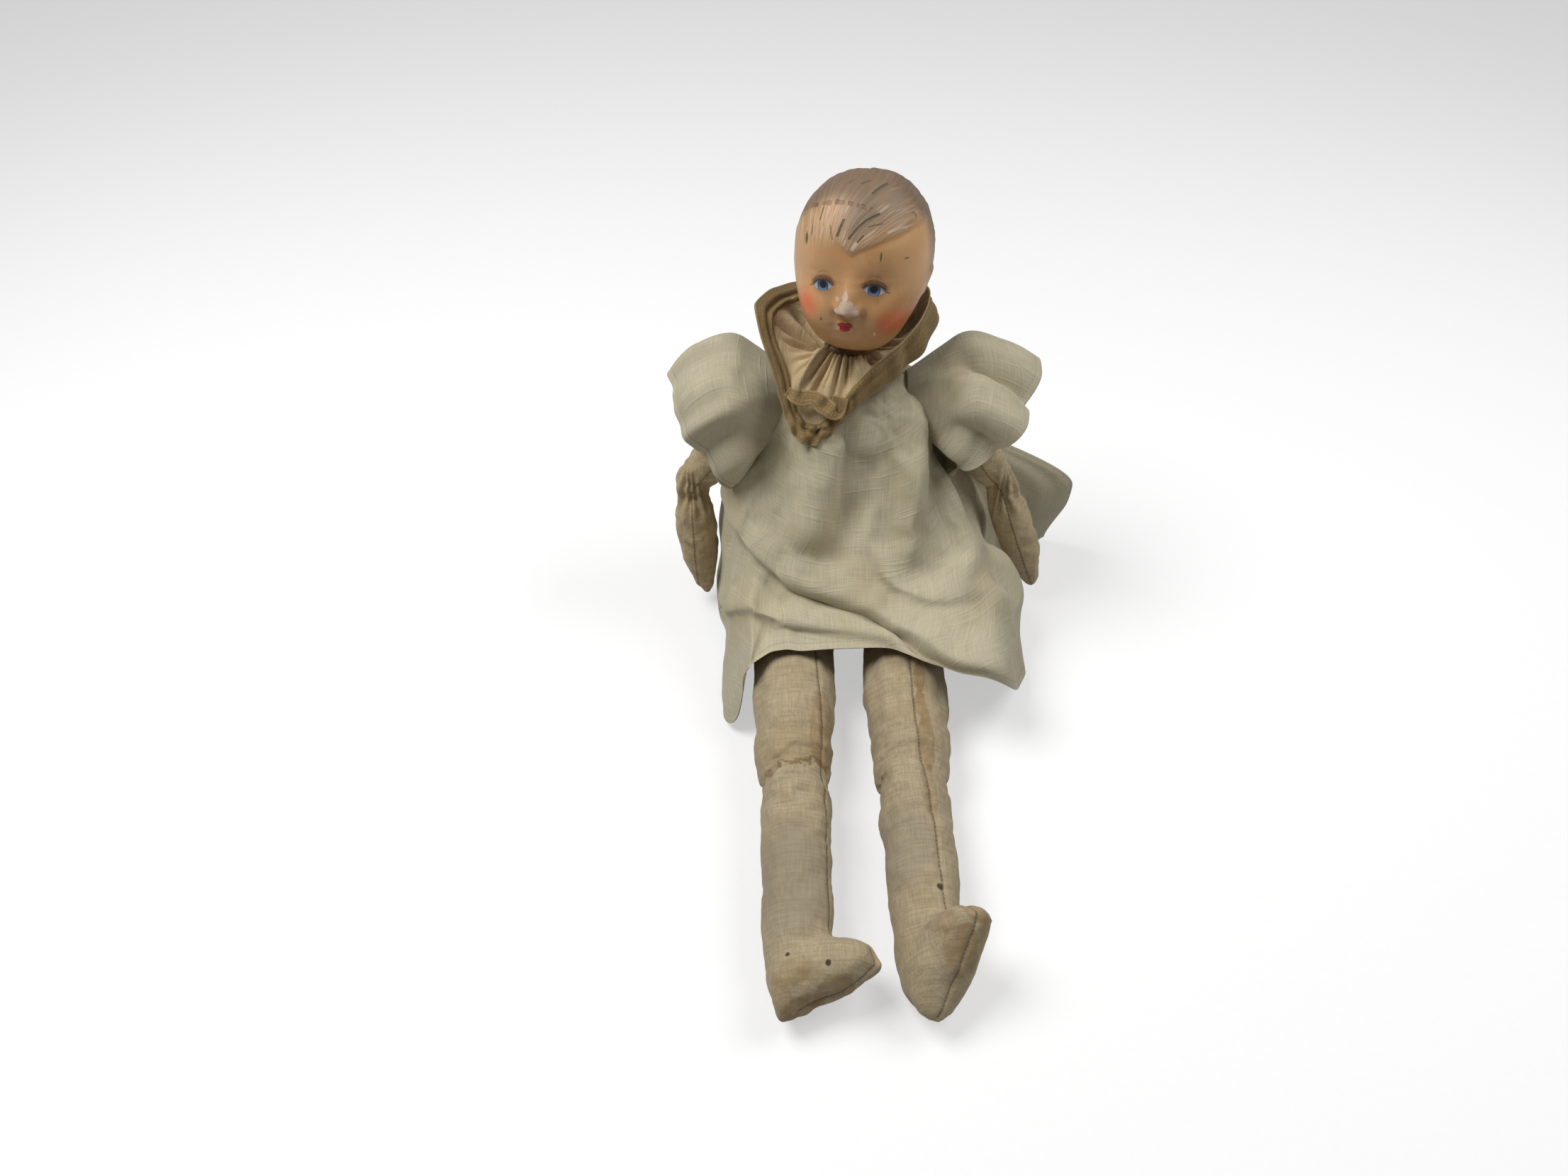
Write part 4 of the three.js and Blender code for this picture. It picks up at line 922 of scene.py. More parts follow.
class FacePaint(Finish):
    """Oil paint on moulded plaster, laid on coat by coat. Places are millimetres from the head's middle."""

    def __init__(self, colours):
        super().__init__("painted_face", Coat_Weight=0.08, Coat_Roughness=0.3)
        inputs = {
            "Vector": self.object_place(),
            "Location": tuple(HEAD_CENTRE * MM),
            "Rotation": tuple(FACE_TURN.to_euler()),
            "Scale": (MM, MM, MM),
        }
        self.colours = colours
        self.face = self.node("ShaderNodeMapping", {"vector_type": "TEXTURE"}, inputs)
        self.x, self.y, self.z = self.split(self.face)
        self.front = self.y.step(-8, -16)
        self.broad = self.noise(self.face, 0.045, 3.0, 0.6)
        self.fine = self.noise(self.face, 0.5, 3.0, 0.6)
        self.grime = self.noise(self.face, 0.14, 4.0, 0.65)
        self.tint = None

    def coat(self, share, tint):
        """Lays paint over what is there already."""
        self.tint = self.mix(share, self.tint, tint)

    def oval(self, across, middle, wide, tall, soft=0.12):
        return oval_away(across, self.z - middle, wide, tall).step(1 + soft, 1 - soft)

    def skin(self):
        """Warm skin with painted light on the doll's right side and left temple, painted shade on the chin
        and jaw, dirty in places and flushed on the cheeks.
        """
        colours, x, z, front = self.colours, self.x, self.z, self.front
        light = blended(colours.skin, linear(214, 166, 116), 0.6)
        self.tint = self.mix(self.broad.step(0.35, 0.7), shade(colours.skin, 0.92), light)
        # painted light: the skin is lighter towards the doll's right side and at its left temple
        self.coat(x.step(4, -30) * 0.35, linear(222, 180, 132))
        self.coat(x.step(12, 26) * z.step(-14, 6) * 0.55, linear(226, 178, 122))
        self.coat(self.grime.step(0.58, 0.8) * 0.3, linear(132, 92, 56))
        # painted shade: darker towards the chin and on the jaw's left side
        self.coat(z.step(-20, -42) * 0.3, linear(166, 104, 50))
        jowl_shade = (((x - 30) / 16) ** 2 + ((z + 22) / 18) ** 2).step(1.0, 0.1)
        self.coat(jowl_shade * 0.5 * front, linear(176, 104, 50))
        for middle_x, middle_z, wide, tall, level, warm in CHEEKS:
            away = oval_away(x - middle_x, z - middle_z, wide, tall)
            flush = blended(colours.blush, linear(206, 92, 30), warm)
            self.coat((away + 0.35 * (self.broad - 0.5)).step(1.15, 0.1) * level * front, flush)

    def eyes(self):
        """Both eyes with their lids, lashes and brows. Gives where they are open."""
        iris_tint, z, front = self.colours.iris, self.z, self.front
        sideways = self.x + 0.4
        aside = abs(sideways)
        dx = aside - EYE_ASIDE
        tilted = z + 0.13 * dx
        arch = (1 - (dx / EYE_HALF) ** 2).most(0.0)
        lid = EYE_LEVEL + 2.8 * arch ** 0.85
        rim = EYE_LEVEL - 2.7 * arch ** 0.9
        open_eye = (lid - tilted).step(-0.1, 0.25) * (tilted - rim).step(-0.1, 0.25)
        open_eye = open_eye * front * abs(dx).step(EYE_HALF, 5.6)
        # painted shade in the eye sockets
        socket_shade = ((dx / 9) ** 2 + ((z + 2.5) / 6.5) ** 2).step(1.1, 0.3) * front
        self.coat(socket_shade * 0.3, linear(140, 100, 66))
        bristle = self.noise(self.join(sideways * 1.5 + z * 0.9, z * 0.15), 1.0, 2.0)
        over = tilted - lid
        band = over.step(-0.3, 0.5) * over.step(3.5, 1.7) * abs(dx - 0.2).step(7.8, 5.0) * front
        self.coat(band * (0.7 + 0.9 * (bristle - 0.3)), linear(98, 64, 30))
        brow = abs(over - 4.6 + 0.06 * dx ** 2).step(0.9, 0.1) * abs(dx + 1).step(7, 3.5) * front
        self.coat(brow * 0.4, linear(146, 94, 52))
        # painted shadow of the upper lid on the eyeball, and painted shade in its corners
        ball = self.mix((lid - tilted).step(0.2, 2.4), linear(104, 104, 108), linear(178, 179, 178))
        ball = self.mix(abs(dx).step(3.4, 5.4) * 0.35, ball, linear(138, 122, 116))
        self.coat(open_eye, ball)
        iris_away = ((dx + 0.1) ** 2 + (z + 3.6) ** 2) ** 0.5
        bright = blended(iris_tint, (0.4, 0.55, 0.8), 0.3)
        # painted shadow of the upper lid: the iris darkens towards its top
        iris = self.mix((z + 3.0).step(0.6, -3.4), shade(iris_tint, 0.5), bright)
        iris = self.mix(iris_away.step(2.5, 3.2), iris, shade(iris_tint, 0.28))
        self.coat(iris_away.step(3.4, 3.1) * open_eye, iris)
        pupil_away = ((dx + 0.15) ** 2 + (z + 2.7) ** 2) ** 0.5
        self.coat(pupil_away.step(2.1, 1.8) * open_eye, (0.006, 0.005, 0.006))
        lash = abs(over - 0.1).step(0.7, 0.2) * abs(dx).step(6.4, 5.2) * front
        self.coat(lash * 0.92, (0.025, 0.014, 0.01))
        lower = abs(tilted - rim + 0.1).step(0.5, 0.1) * abs(dx).step(5.8, 3.5) * front
        self.coat(lower * 0.4, linear(120, 80, 60))
        tail = abs(tilted + 3.6 + 0.3 * (aside - 19.5)).step(0.5, 0.1)
        tail = tail * aside.step(18.8, 19.4) * aside.step(22, 20.8) * front
        self.coat(tail * 0.75, linear(60, 36, 26))
        return open_eye

    def mouth(self):
        """The painted lips. Gives where they are."""
        front, lips = self.front, self.x + 0.7
        upper = self.oval(abs(lips) - 1.8, -22.9, 2.3, 1.5)
        bow = upper.most(self.oval(lips + 0.1, -25.0, 2.9, 1.5)) * front
        red = self.colours.lips
        self.coat(bow, self.mix(self.fine, shade(red, 0.7), shade(red, 1.3)))
        parting = abs(self.z + 24.0 - 0.02 * lips ** 2).step(0.45, 0.1) * abs(lips).step(4.6, 3.6) * front
        self.coat(parting * 0.8, (0.03, 0.006, 0.008))
        dimple = self.oval(lips + 5.2, -23.8, 1.7, 0.5, 0.5) * front
        self.coat(dimple * 0.8, linear(222, 204, 192))
        return bow

    def nose(self):
        """The nose, worn down to the plaster. Gives where it is bare."""
        plaster, x, z, front = self.colours.bare, self.x, self.z, self.front
        ragged = 1.9 * (self.noise(self.face, 0.35, 3.0, 0.65) - 0.5)
        wings = oval_away(abs(x - 0.8) - 4.5, z + 14.2, 2.5, 2.2)
        tip = oval_away(x - 0.9, z + 12.6, 4.4, 5.2).least(wings)
        bridge = oval_away(x + 0.4, z + 6.6, 2.0, 4.4) + 0.2
        fleck = oval_away(x + 5.2, z + 8.2, 1.7, 1.7) + 0.2
        bare = (tip.least(bridge).least(fleck) + ragged * 0.4).step(1.08, 0.92) * front
        self.coat(bare * 0.92, self.mix(self.grime.step(0.4, 0.7), plaster, shade(plaster, 0.74)))
        nostril = self.oval(abs(x - 0.8) - 3.4, -17.4, 1.7, 0.7, 0.5) * front
        self.coat(nostril * 0.65, linear(112, 70, 50))
        # painted shade beside the nose
        beside_shade = (((abs(x - 0.6) - 8.2) / 2.4) ** 2 + ((z + 15.5) / 4.0) ** 2).step(1.2, 0.2) * front
        self.coat(beside_shade * 0.35, linear(120, 76, 44))
        return bare

    def brushed(self, strokes, aside, run):
        """Where any of some strokes lies, each a line of points on the combed head."""
        marks = None
        for line, broad, level in strokes:
            places = [comb_place(*place) for place in line]
            for start, end in zip(places, places[1:]):
                (side, up), (over, rise) = map(float, start), map(float, np.subtract(end, start))
                part = ((aside - side) * over + (run - up) * rise) / (over * over + rise * rise)
                part = part.most(0.0).least(1.0)
                away = (aside - side - part * over) ** 2 + (run - up - part * rise) ** 2
                mark = (away ** 0.5 + 0.5 * (self.fine - 0.5)).step(broad, broad * 0.4) * level
                marks = mark if marks is None else marks.most(mark)
        return marks

    def hair(self):
        """Combed hair. Gives where it is, its strands and its dark strokes."""
        brown, x, y, z, front = self.colours.hair, self.x, self.y, self.z, self.front
        stops = [((place + 180) / 360, (level + 40) / 80) for place, level in HAIR_LINE]
        share = self.math("ARCTAN2", x, -y) * (0.5 / pi) + 0.5
        line = self.node("ShaderNodeValToRGB", {"stops": stops}, {0: share}) * 80.0 - 40.0
        run = COMB_ALONG * (pi / 2 - self.math("ARCTAN2", -y, z))
        aside = COMB_ACROSS * self.math("ARCTAN2", x, (y ** 2 + z ** 2) ** 0.5)
        swept = SWEEP * ((SWEEP_TOP - run).most(0.0).least(SWEEP_TOP) / SWEEP_RUN) ** SWEEP_BEND
        across = aside + swept * aside.step(*SWEEP_SIDE)
        past = z - line + 3.0 * (self.noise(self.join(across * 0.5, run * 0.05), 1.0, 2.0) - 0.5)
        faded = x.step(4, -14) * run.step(50, 36) * front
        hair = (past / (2.2 + 4 * x.step(2, -14) + 4 * share.step(0.63, 0.7))).step(-1, 1)
        temples = (share.step(0.69, 0.74) * z.step(-12, 2)).most(share.step(0.31, 0.26) * z.step(-2, 8))
        hair = hair.most(temples * 0.75)
        lock = self.noise(self.join(across * 0.16, run * 0.02), 1.0, 2.0)
        combed = self.noise(self.join(across * 0.6, run * 0.035), 1.0, 3.0, 0.6)
        streaks = self.noise(self.join(across * 0.5, run * 0.09), 1.0, 0.5)
        lights = self.noise(self.join(across * 0.5 + 40, run * 0.06), 1.0, 1.0)
        strand = self.mix(combed.step(0.34, 0.66), shade(brown, 0.78), shade(brown, 1.12))
        strand = self.mix(lock.step(0.4, 0.65) * 0.4, strand, shade(brown, 0.8))
        warmed = (past.step(15, 1) * 0.6 * front).most(faded * 0.85)
        warm = self.mix(combed.step(0.3, 0.7), shade(self.colours.skin, 0.85), linear(220, 186, 146))
        strand = self.mix(warmed, strand, warm)
        shine = lights.step(0.62, 0.72) * 0.5 * past.step(24, 6) * front
        strand = self.mix(shine, strand, linear(226, 202, 174))
        dark = streaks.step(0.66, 0.76) * past.step(2, 6) * run.step(66, 56)
        dark = dark * aside.step(-8, -2) * aside.step(34, 24) * 0.45
        strand = self.mix(dark, strand, linear(98, 88, 68))
        strand = self.mix(run.step(40, 62) * 0.4, strand, shade(brown, 0.8))
        self.coat(hair, strand)
        scored = self.brushed(HAIR_STROKES, aside, run)
        # pale strokes and painted highlights in the hair
        self.coat(self.brushed(HAIR_HIGHLIGHTS_AND_PALE_STROKES, aside, run), linear(214, 196, 178))
        self.coat(scored, linear(82, 76, 58))
        # painted highlight along the fringe's raised edge
        ridge_highlight = past.step(-0.4, 0.8) * past.step(2.6, 1.2) * x.step(1, 6) * front
        self.coat(ridge_highlight * 0.3, linear(214, 180, 140))
        # painted shadow just under the fringe's edge
        fringe = past.step(-3, -0.6) * past.step(0.8, -0.2) * front * x.step(-12, -2)
        self.coat(fringe * 0.2, linear(146, 100, 62))
        return hair, combed, scored

    def wear(self):
        """A row of chips, the glued seam, flecks and scratches. Gives the chips and the seam."""
        x, z, front = self.x, self.z, self.front
        flakes = self.noise(self.join(x * 0.3, z * 0.25), 1.0, 1.0)
        row = abs(z - 37.2 + 0.012 * (x + 5) ** 2 + 1.6 * (flakes - 0.5)).step(1.1, 0.5)
        row = row * x.step(-33, -28) * x.step(10, 6) * front
        chips = row * self.noise(self.join(x * 0.42, 3.0), 1.0, 0.0).step(0.47, 0.52)
        self.coat(chips * 0.85, linear(122, 84, 62))
        seam = abs(self.y - 4.0 + 1.2 * (self.broad - 0.5)).step(0.55, 0.15)
        self.coat(seam * 0.5, linear(98, 76, 60))
        for middle_x, middle_z, wide, tall, spot in FACE_SPOTS:
            self.coat(self.oval(x - middle_x, middle_z, wide, tall, 0.4) * front * 0.85, spot)
        scratch = self.noise(self.stretch(self.face, 1.6, 1.6, 0.16), 1.0, 1.0)
        side_wear = scratch.step(0.66, 0.7) * abs(x).step(23, 29) * front
        self.coat(side_wear * 0.5, linear(206, 166, 122))
        return chips, seam


def face_finish(colours):
    """The face from its skin up, with its gloss and relief."""
    f = FacePaint(colours)
    f.skin()
    open_eye, bow, bare = f.eyes(), f.mouth(), f.nose()
    hair, combed, scored = f.hair()
    chips, seam = f.wear()
    rough = 0.47 + 0.1 * hair + 0.2 * (f.grime - 0.4) + 0.1 * bare - 0.06 * open_eye
    height = 0.1 * f.fine + hair * 0.4 * combed - 0.5 * scored - 0.12 * bare
    height = height - 0.4 * seam - 0.4 * chips + 0.2 * bow
    return f.surface(f.tint, rough, height)


def make_head(sizes, colours):
    """The moulded head with its short neck."""
    deselect()
    bpy.ops.mesh.primitive_uv_sphere_add(segments=320, ring_count=220, radius=1)
    head = new_piece("painted_head")
    way = points(head) * MM
    way /= np.linalg.norm(way, axis=1, keepdims=True)
    places = way * head_radius(way, sizes)[:, None]
    set_points(head, places @ np.array(FACE_TURN).T + HEAD_CENTRE)
    nodes = ["head_front_half", "head_back_half"]
    finish_piece(head, face_finish(colours), nodes)
    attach(head, "head")


# Cloth

def sheet_grid(turns, runs, columns, rows):
    """Turn and run at each point of a sheet, row by row."""
    return np.meshgrid(np.linspace(*turns, columns + 1), np.linspace(*runs, rows + 1))


def cloth_sheet(name, place, part=slice(None)):
    """A grid of cloth through rows of points, or some of its columns. Its UV map is in metres of cloth."""
    rows, columns = place.shape[0] - 1, place[:, part].shape[1] - 1
    deselect()
    bpy.ops.mesh.primitive_grid_add(x_subdivisions=columns, y_subdivisions=rows, size=1)
    sheet = new_piece(name)
    flat = points(sheet) * MM
    column = np.rint((flat[:, 0] + 0.5) * columns).astype(int)
    row = np.rint((0.5 - flat[:, 1]) * rows).astype(int)
    set_points(sheet, place[:, part][row, column])
    across = np.pad(np.linalg.norm(np.diff(place, axis=1), axis=2).cumsum(1), ((0, 0), (1, 0)))
    across = (across - across[:, [across.shape[1] // 2]])[:, part]
    down = np.pad(np.linalg.norm(np.diff(place, axis=0), axis=2).cumsum(0), ((1, 0), (0, 0)))[:, part]
    corner = np.empty(len(sheet.data.loops), np.int32)
    sheet.data.loops.foreach_get("vertex_index", corner)
    uv = np.stack([across[row, column], down[row, column]], 1)[corner] * MM
    sheet.data.uv_layers.active.data.foreach_set("uv", uv.astype(np.float32).ravel())
    note(sheet, "hem", ((down[-1] - down) * MM)[row, column])
    note(sheet, "edge", (np.minimum(down, down[-1] - down) * MM)[row, column])
    for axis, values in zip("xyz", np.moveaxis(cloth_normals(place)[:, part][row, column], 1, 0)):
        note(sheet, "facing_" + axis, values)
    return sheet


def keep_normals(sheet):
    """Shades a sheet as the whole cloth that it was cut from, so that no cut shows."""
    out = np.empty((len(sheet.data.vertices), 3), np.float32)
    for k, axis in enumerate("xyz"):
        values = np.empty(len(out), np.float32)
        sheet.data.attributes["facing_" + axis].data.foreach_get("value", values)
        out[:, k] = values
    out *= np.sign((out * normals(sheet)).sum(1, keepdims=True))
    sheet.data.normals_split_custom_set_from_vertices(out)


def cloth_normals(place):
    """Outward directions over rows of points."""
    right, down = np.gradient(place, axis=1), np.gradient(place, axis=0)
    out = np.cross(right, -down)
    return out / np.maximum(np.linalg.norm(out, axis=2, keepdims=True), 1e-9)


def folded(place, line, rise, above, below, lean=0.0, ends=(0.2, 0.2)):
    """Raises a fold along a line of points: its spread above and below, and its lean across."""
    line = along(line, np.linspace(0, 1, 70))
    flat, out = place.reshape(-1, 3), cloth_normals(place).reshape(-1, 3)
    gap = flat[:, None] - line[None]
    k = (gap**2).sum(2).argmin(1)
    tangent = np.gradient(line, axis=0)
    tangent /= np.linalg.norm(tangent, axis=1, keepdims=True)
    ahead, gap = tangent[k], gap[np.arange(len(k)), k]
    across = np.cross(out, ahead)
    across /= np.maximum(np.linalg.norm(across, axis=1, keepdims=True), 1e-9)
    off, past, up = (gap * across).sum(1), (gap * ahead).sum(1), (gap * out).sum(1)
    share = k / (len(line) - 1)
    level = smooth(share, 0, ends[0]) if ends[0] else 1.0
    if ends[1]:
        level = level * (1 - smooth(share, 1 - ends[1], 1))
    wide = np.where(off > 0, above, below)
    level = level * np.exp(-((off / wide) ** 2) - (past / above) ** 2 - (up / 25) ** 2)
    moved = (rise * level)[:, None] * out + (lean * level)[:, None] * across
    return place + moved.reshape(place.shape)


def settled(place, rounds, names, gap=1.2):
    """Cloth with its pinches eased out, lifted off the pieces under it."""
    place = place.copy()
    for _ in range(rounds):
        middle = place[1:-1, 1:-1]
        around = place[:-2, 1:-1] + place[2:, 1:-1] + place[1:-1, :-2] + place[1:-1, 2:]
        middle += 0.25 * (around - 4 * middle)
        hem = place[-1, 1:-1]
        hem += 0.25 * (place[-1, :-2] + place[-1, 2:] - 2 * hem)
    for name in names:
        under = bpy.data.objects[name].data
        tree = BVHTree.FromPolygons([v.co / MM for v in under.vertices], [p.vertices for p in under.polygons])
        for index in np.ndindex(place.shape[:2]):
            near, out, _, _ = tree.find_nearest(place[index], 30)
            if near is None:
                continue
            low = gap - (Vector(place[index]) - near).dot(out)
            if low > 0:
                place[index] += low * np.array(out)
    return place


CLOTH_GAP = 0.012


def big_copy(name):
    """A still copy of a piece, enlarged for the simulation, that cloth can fall on."""
    copy = bpy.data.objects.new("under_" + name, bpy.data.objects[name].data.copy())
    bpy.context.scene.collection.objects.link(copy)
    set_points(copy, SIM_SCALE * points(copy))
    copy.modifiers.new("Collision", "COLLISION")
    copy.collision.thickness_outer = CLOTH_GAP
    copy.collision.cloth_friction = 12
    return copy


def draped(place, hold, names, spare, steps):
    """Cloth with some spare width, left to fall on the pieces under it: a coarse copy is simulated."""
    coarse = place[::2, ::2]
    rows, columns = coarse.shape[0] - 1, coarse.shape[1] - 1
    sheet = cloth_sheet("falling_cloth", SIM_SCALE * coarse)
    under = [big_copy(name) for name in names]
    group = sheet.vertex_groups.new(name="hold")
    weight = hold[::2, ::2]
    index = np.arange((rows + 1) * (columns + 1)).reshape(rows + 1, columns + 1)[::-1]
    for k, level in zip(index.ravel(), weight.ravel()):
        group.add([int(k)], float(level), "REPLACE")
    pick(sheet)
    modifier = sheet.modifiers.new("Fall", "CLOTH")
    cloth = modifier.settings
    cloth.quality, cloth.mass, cloth.air_damping = 6, 0.2, 2
    cloth.tension_stiffness, cloth.compression_stiffness, cloth.shear_stiffness = 20, 20, 8
    cloth.bending_stiffness, cloth.bending_damping = 8, 0.5
    cloth.shrink_min = -spare
    cloth.vertex_group_mass, cloth.pin_stiffness = "hold", 1
    modifier.collision_settings.distance_min = CLOTH_GAP
    modifier.collision_settings.collision_quality = 3
    for step in range(1, steps + 1):
        bpy.context.scene.frame_set(step)
    bpy.ops.object.modifier_apply(modifier=modifier.name)
    bpy.context.scene.frame_set(1)
    fallen = points(sheet)[index.ravel()].reshape(coarse.shape) / SIM_SCALE
    for each in [sheet, *under]:
        bpy.data.objects.remove(each)
    moved = fallen - coarse
    every = np.arange(place.shape[1])
    lines = np.moveaxis(moved, 2, 1).reshape(-1, columns + 1)
    full = np.stack([np.interp(every, every[::2], line) for line in lines])
    full = np.moveaxis(full.reshape(rows + 1, 3, -1), 1, 2)
    down = np.arange(place.shape[0]) / 2
    low = np.minimum(down.astype(int), rows - 1)
    share = (down - low)[:, None, None]
    return place + full[low] * (1 - share) + full[low + 1] * share


SMOCK_ROWS = (
    # half width, front and back, heights in front, at the side and behind, squareness
    (21, -6, 36, 158.5, 158.5, 158.5, 2),
    (46, -13, 40, 150, 154, 152, 2.2),
    (55, -25, 46, 129, 130, 132, 2.4),
    (70, -45, 49, 97.5, 95.5, 97.5, 2.6),
    (76, -62, 57, 72, 60, 60, 3),
    (75.8, -83, 65.1, 57.5, 30, 28, 3.6),
    (79, -104, 70, 52.3, 6, 6, 4),
)


def smock_surface(u, s):
    """The smock at turn u from straight ahead and run s from the neck to the hem, unfolded."""
    row = np.moveaxis(along(SMOCK_ROWS, np.minimum(s, 1)), -1, 0)
    half, front, back, front_z, side_z, back_z, square = row
    sine, cosine = np.sin(u), np.cos(u)
    x = half * power(sine, 2 / square)
    y = (front + back) / 2 - (back - front) / 2 * power(cosine, 2 / square)
    over = 1 - smooth(np.abs(x), 57.2, 69.2)
    ahead, behind = smooth(cosine, 0, 0.35) * over, smooth(-cosine, 0, 0.5)
    z = side_z + (front_z - side_z) * ahead + (back_z - side_z) * behind
    fold = 3 * smooth(s, 0.25, 1) * (np.sin(9 * u + 4 * s) * (1 - 0.6 * ahead) + 0.4 * np.sin(17 * u - 3 * s))
    corners = smooth(s, 0.55, 1) * (26 * bell(u, -0.72, 0.2) + 22 * bell(u, 0.62, 0.2))
    corners += smooth(s, 0.75, 1) * (12 * bell(u, -1.0, 0.2) + 10 * bell(u, 0.45, 0.18))
    spread = 34 * smooth(s, 0.48, 0.8) * bell(u, 0.98, 0.36)
    flare = 82 * smooth(s, 0.36, 0.68) * (1 - 0.15 * smooth(s, 0.75, 1)) * bell(u, 2.15, 0.25)
    z = z + 12 * smooth(s, 0.8, 1) * bell(u, 0.8, 0.17)
    return np.stack([x + spread + flare + fold * sine, y - corners - fold * cosine, z], -1)


def linen_finish(name, sizes, colours, soiled=0.4):
    """Thin handkerchief linen: open weave with slubs, soft yellowing, a stitched hem."""
    f = Finish(name, Roughness=0.92, Sheen_Weight=0.18, Sheen_Roughness=0.45)
    cloth, place = f.cloth_place(), f.object_place()
    warp = f.noise(f.stretch(cloth, 1500, 60, 1), 1.0, 2.0)
    weft = f.noise(f.stretch(cloth, 60, 1500, 1), 1.0, 2.0)
    lengthwise, crosswise = (f.noise(f.stretch(cloth, *k, 1), 1.0, 1.0) for k in ((420, 22), (22, 420)))
    slub = lengthwise.step(0.6, 0.72).most(crosswise.step(0.6, 0.72))
    weave = 0.5 * (warp + weft)
    broad = f.noise(place, 22.0, 3.0, 0.6)
    tint = f.mix(weave.step(0.32, 0.68), shade(colours.linen, 0.84), shade(colours.linen, 1.1))
    tint = f.mix(slub * 0.25, tint, shade(colours.linen, 1.2))
    tint = f.mix(broad.step(0.45, 0.75) * soiled, tint, linear(166, 146, 104))
    tint = f.mix(f.noise(place, 60.0, 3.0).step(0.55, 0.8) * 0.3, tint, linear(150, 142, 122))
    hem = f.noted("hem")
    turned = hem.step(sizes.hem + 0.2 * MM, sizes.hem - 0.2 * MM)
    sewn = f.math("SINE", f.split(cloth)[0] * 3300.0).step(-0.2, 0.3)
    stitch = abs(hem - (sizes.hem - 0.4 * MM)).step(0.6 * MM, 0.2 * MM) * sewn
    tint = f.mix(turned * 0.3, tint, shade(colours.linen, 1.12))
    tint = f.mix(stitch * 0.45, tint, shade(colours.linen, 0.5))
    return f.surface(tint, None, 0.13 * weave + 0.12 * slub + 0.35 * turned - 0.2 * stitch)


ARMHOLE = 14.5


def clear_armholes(sheet):
    """Cuts the cloth away round each arm, inside its sleeve."""
    middles = np.empty(len(sheet.data.polygons) * 3)
    sheet.data.polygons.foreach_get("center", middles)
    middles = middles.reshape(-1, 3) / MM
    cut = np.zeros(len(middles), bool)
    for side in HANDED:
        way = ELBOW[side] - SHOULDER[side]
        share = np.clip((middles - SHOULDER[side]) @ way / (way @ way), -0.1, 0.4)
        gap = np.linalg.norm(middles - SHOULDER[side] - share[:, None] * way, axis=1)
        cut |= gap < ARMHOLE
    edit_faces(sheet, cut)
    bpy.ops.mesh.delete(type="FACE")
    bpy.ops.object.mode_set(mode="OBJECT")


def cloth_area(sheet):
    """One side of a sheet, in square metres."""
    areas = np.empty(len(sheet.data.polygons))
    sheet.data.polygons.foreach_get("area", areas)
    return float(areas.sum())


FRONT_FOLDS = (
    # turn and run of the points, rise, spread above and below, lean, ends
    (
        (
            (-1.49, 0.45), (-1.11, 0.5), (-0.64, 0.58), (-0.21, 0.67),
            (0.03, 0.76), (0.22, 0.85), (0.45, 0.93), (0.66, 0.97),
        ),
        9, 24, 5, -8, (0.12, 0),
    ),
    (
        ((-1.5, 0.84), (-1.1, 0.78), (-0.66, 0.77), (-0.17, 0.84), (0.06, 0.92), (0.33, 1.0)),
        6, 10, 5, -5, (0.1, 0.1),
    ),
    (((0.15, 0.2), (0.06, 0.34), (0.01, 0.47), (-0.08, 0.68)), -10, 8, 11, 0, (0.25, 0.3)),
    (((-0.2, 0.2), (-0.2, 0.36), (-0.22, 0.5), (-0.26, 0.66)), 4, 8, 8, 0, (0.25, 0.3)),
    (((1.34, 0.3), (1.32, 0.42), (1.27, 0.55), (1.2, 0.68)), -12, 9, 9, 0, (0.25, 0.3)),
    (((0.95, 0.1), (0.66, 0.3), (0.4, 0.45), (0.27, 0.6), (0.25, 0.72)), 11, 9, 6, 3, (0.2, 0.3)),
    (((1.13, 0.38), (0.9, 0.52), (0.68, 0.65), (0.39, 0.78)), 7, 12, 8, 0, (0.3, 0.3)),
    (((-0.95, 0.28), (-0.7, 0.4), (-0.58, 0.5), (-0.6, 0.58)), -5, 10, 9, 0, (0.3, 0.3)),
    (((-0.35, 0.2), (-0.3, 0.35), (-0.28, 0.5), (-0.25, 0.6)), 5, 10, 10, 0, (0.3, 0.3)),
    (((0.13, 0.55), (0.15, 0.66), (0.22, 0.73), (0.36, 0.76), (0.72, 0.73)), 5, 8, 5, -3, (0.25, 0.3)),
    (((0.62, 0.7), (0.8, 0.8), (0.86, 0.88), (0.88, 0.94)), 5, 9, 7, 2, (0.3, 0.4)),
    (((1.0, 0.55), (1.12, 0.68), (1.18, 0.8), (1.15, 0.9)), 6, 8, 7, 2, (0.3, 0.4)),
)


CORNER_SHIFT = np.array([0, 5, 5])
CORNER_ROUNDS = 90
SEAM_FADE = 0.09
BACK_SOIL = 0.1
SLEEVE_SOIL = {"left": 0.65, "right": 0.1}


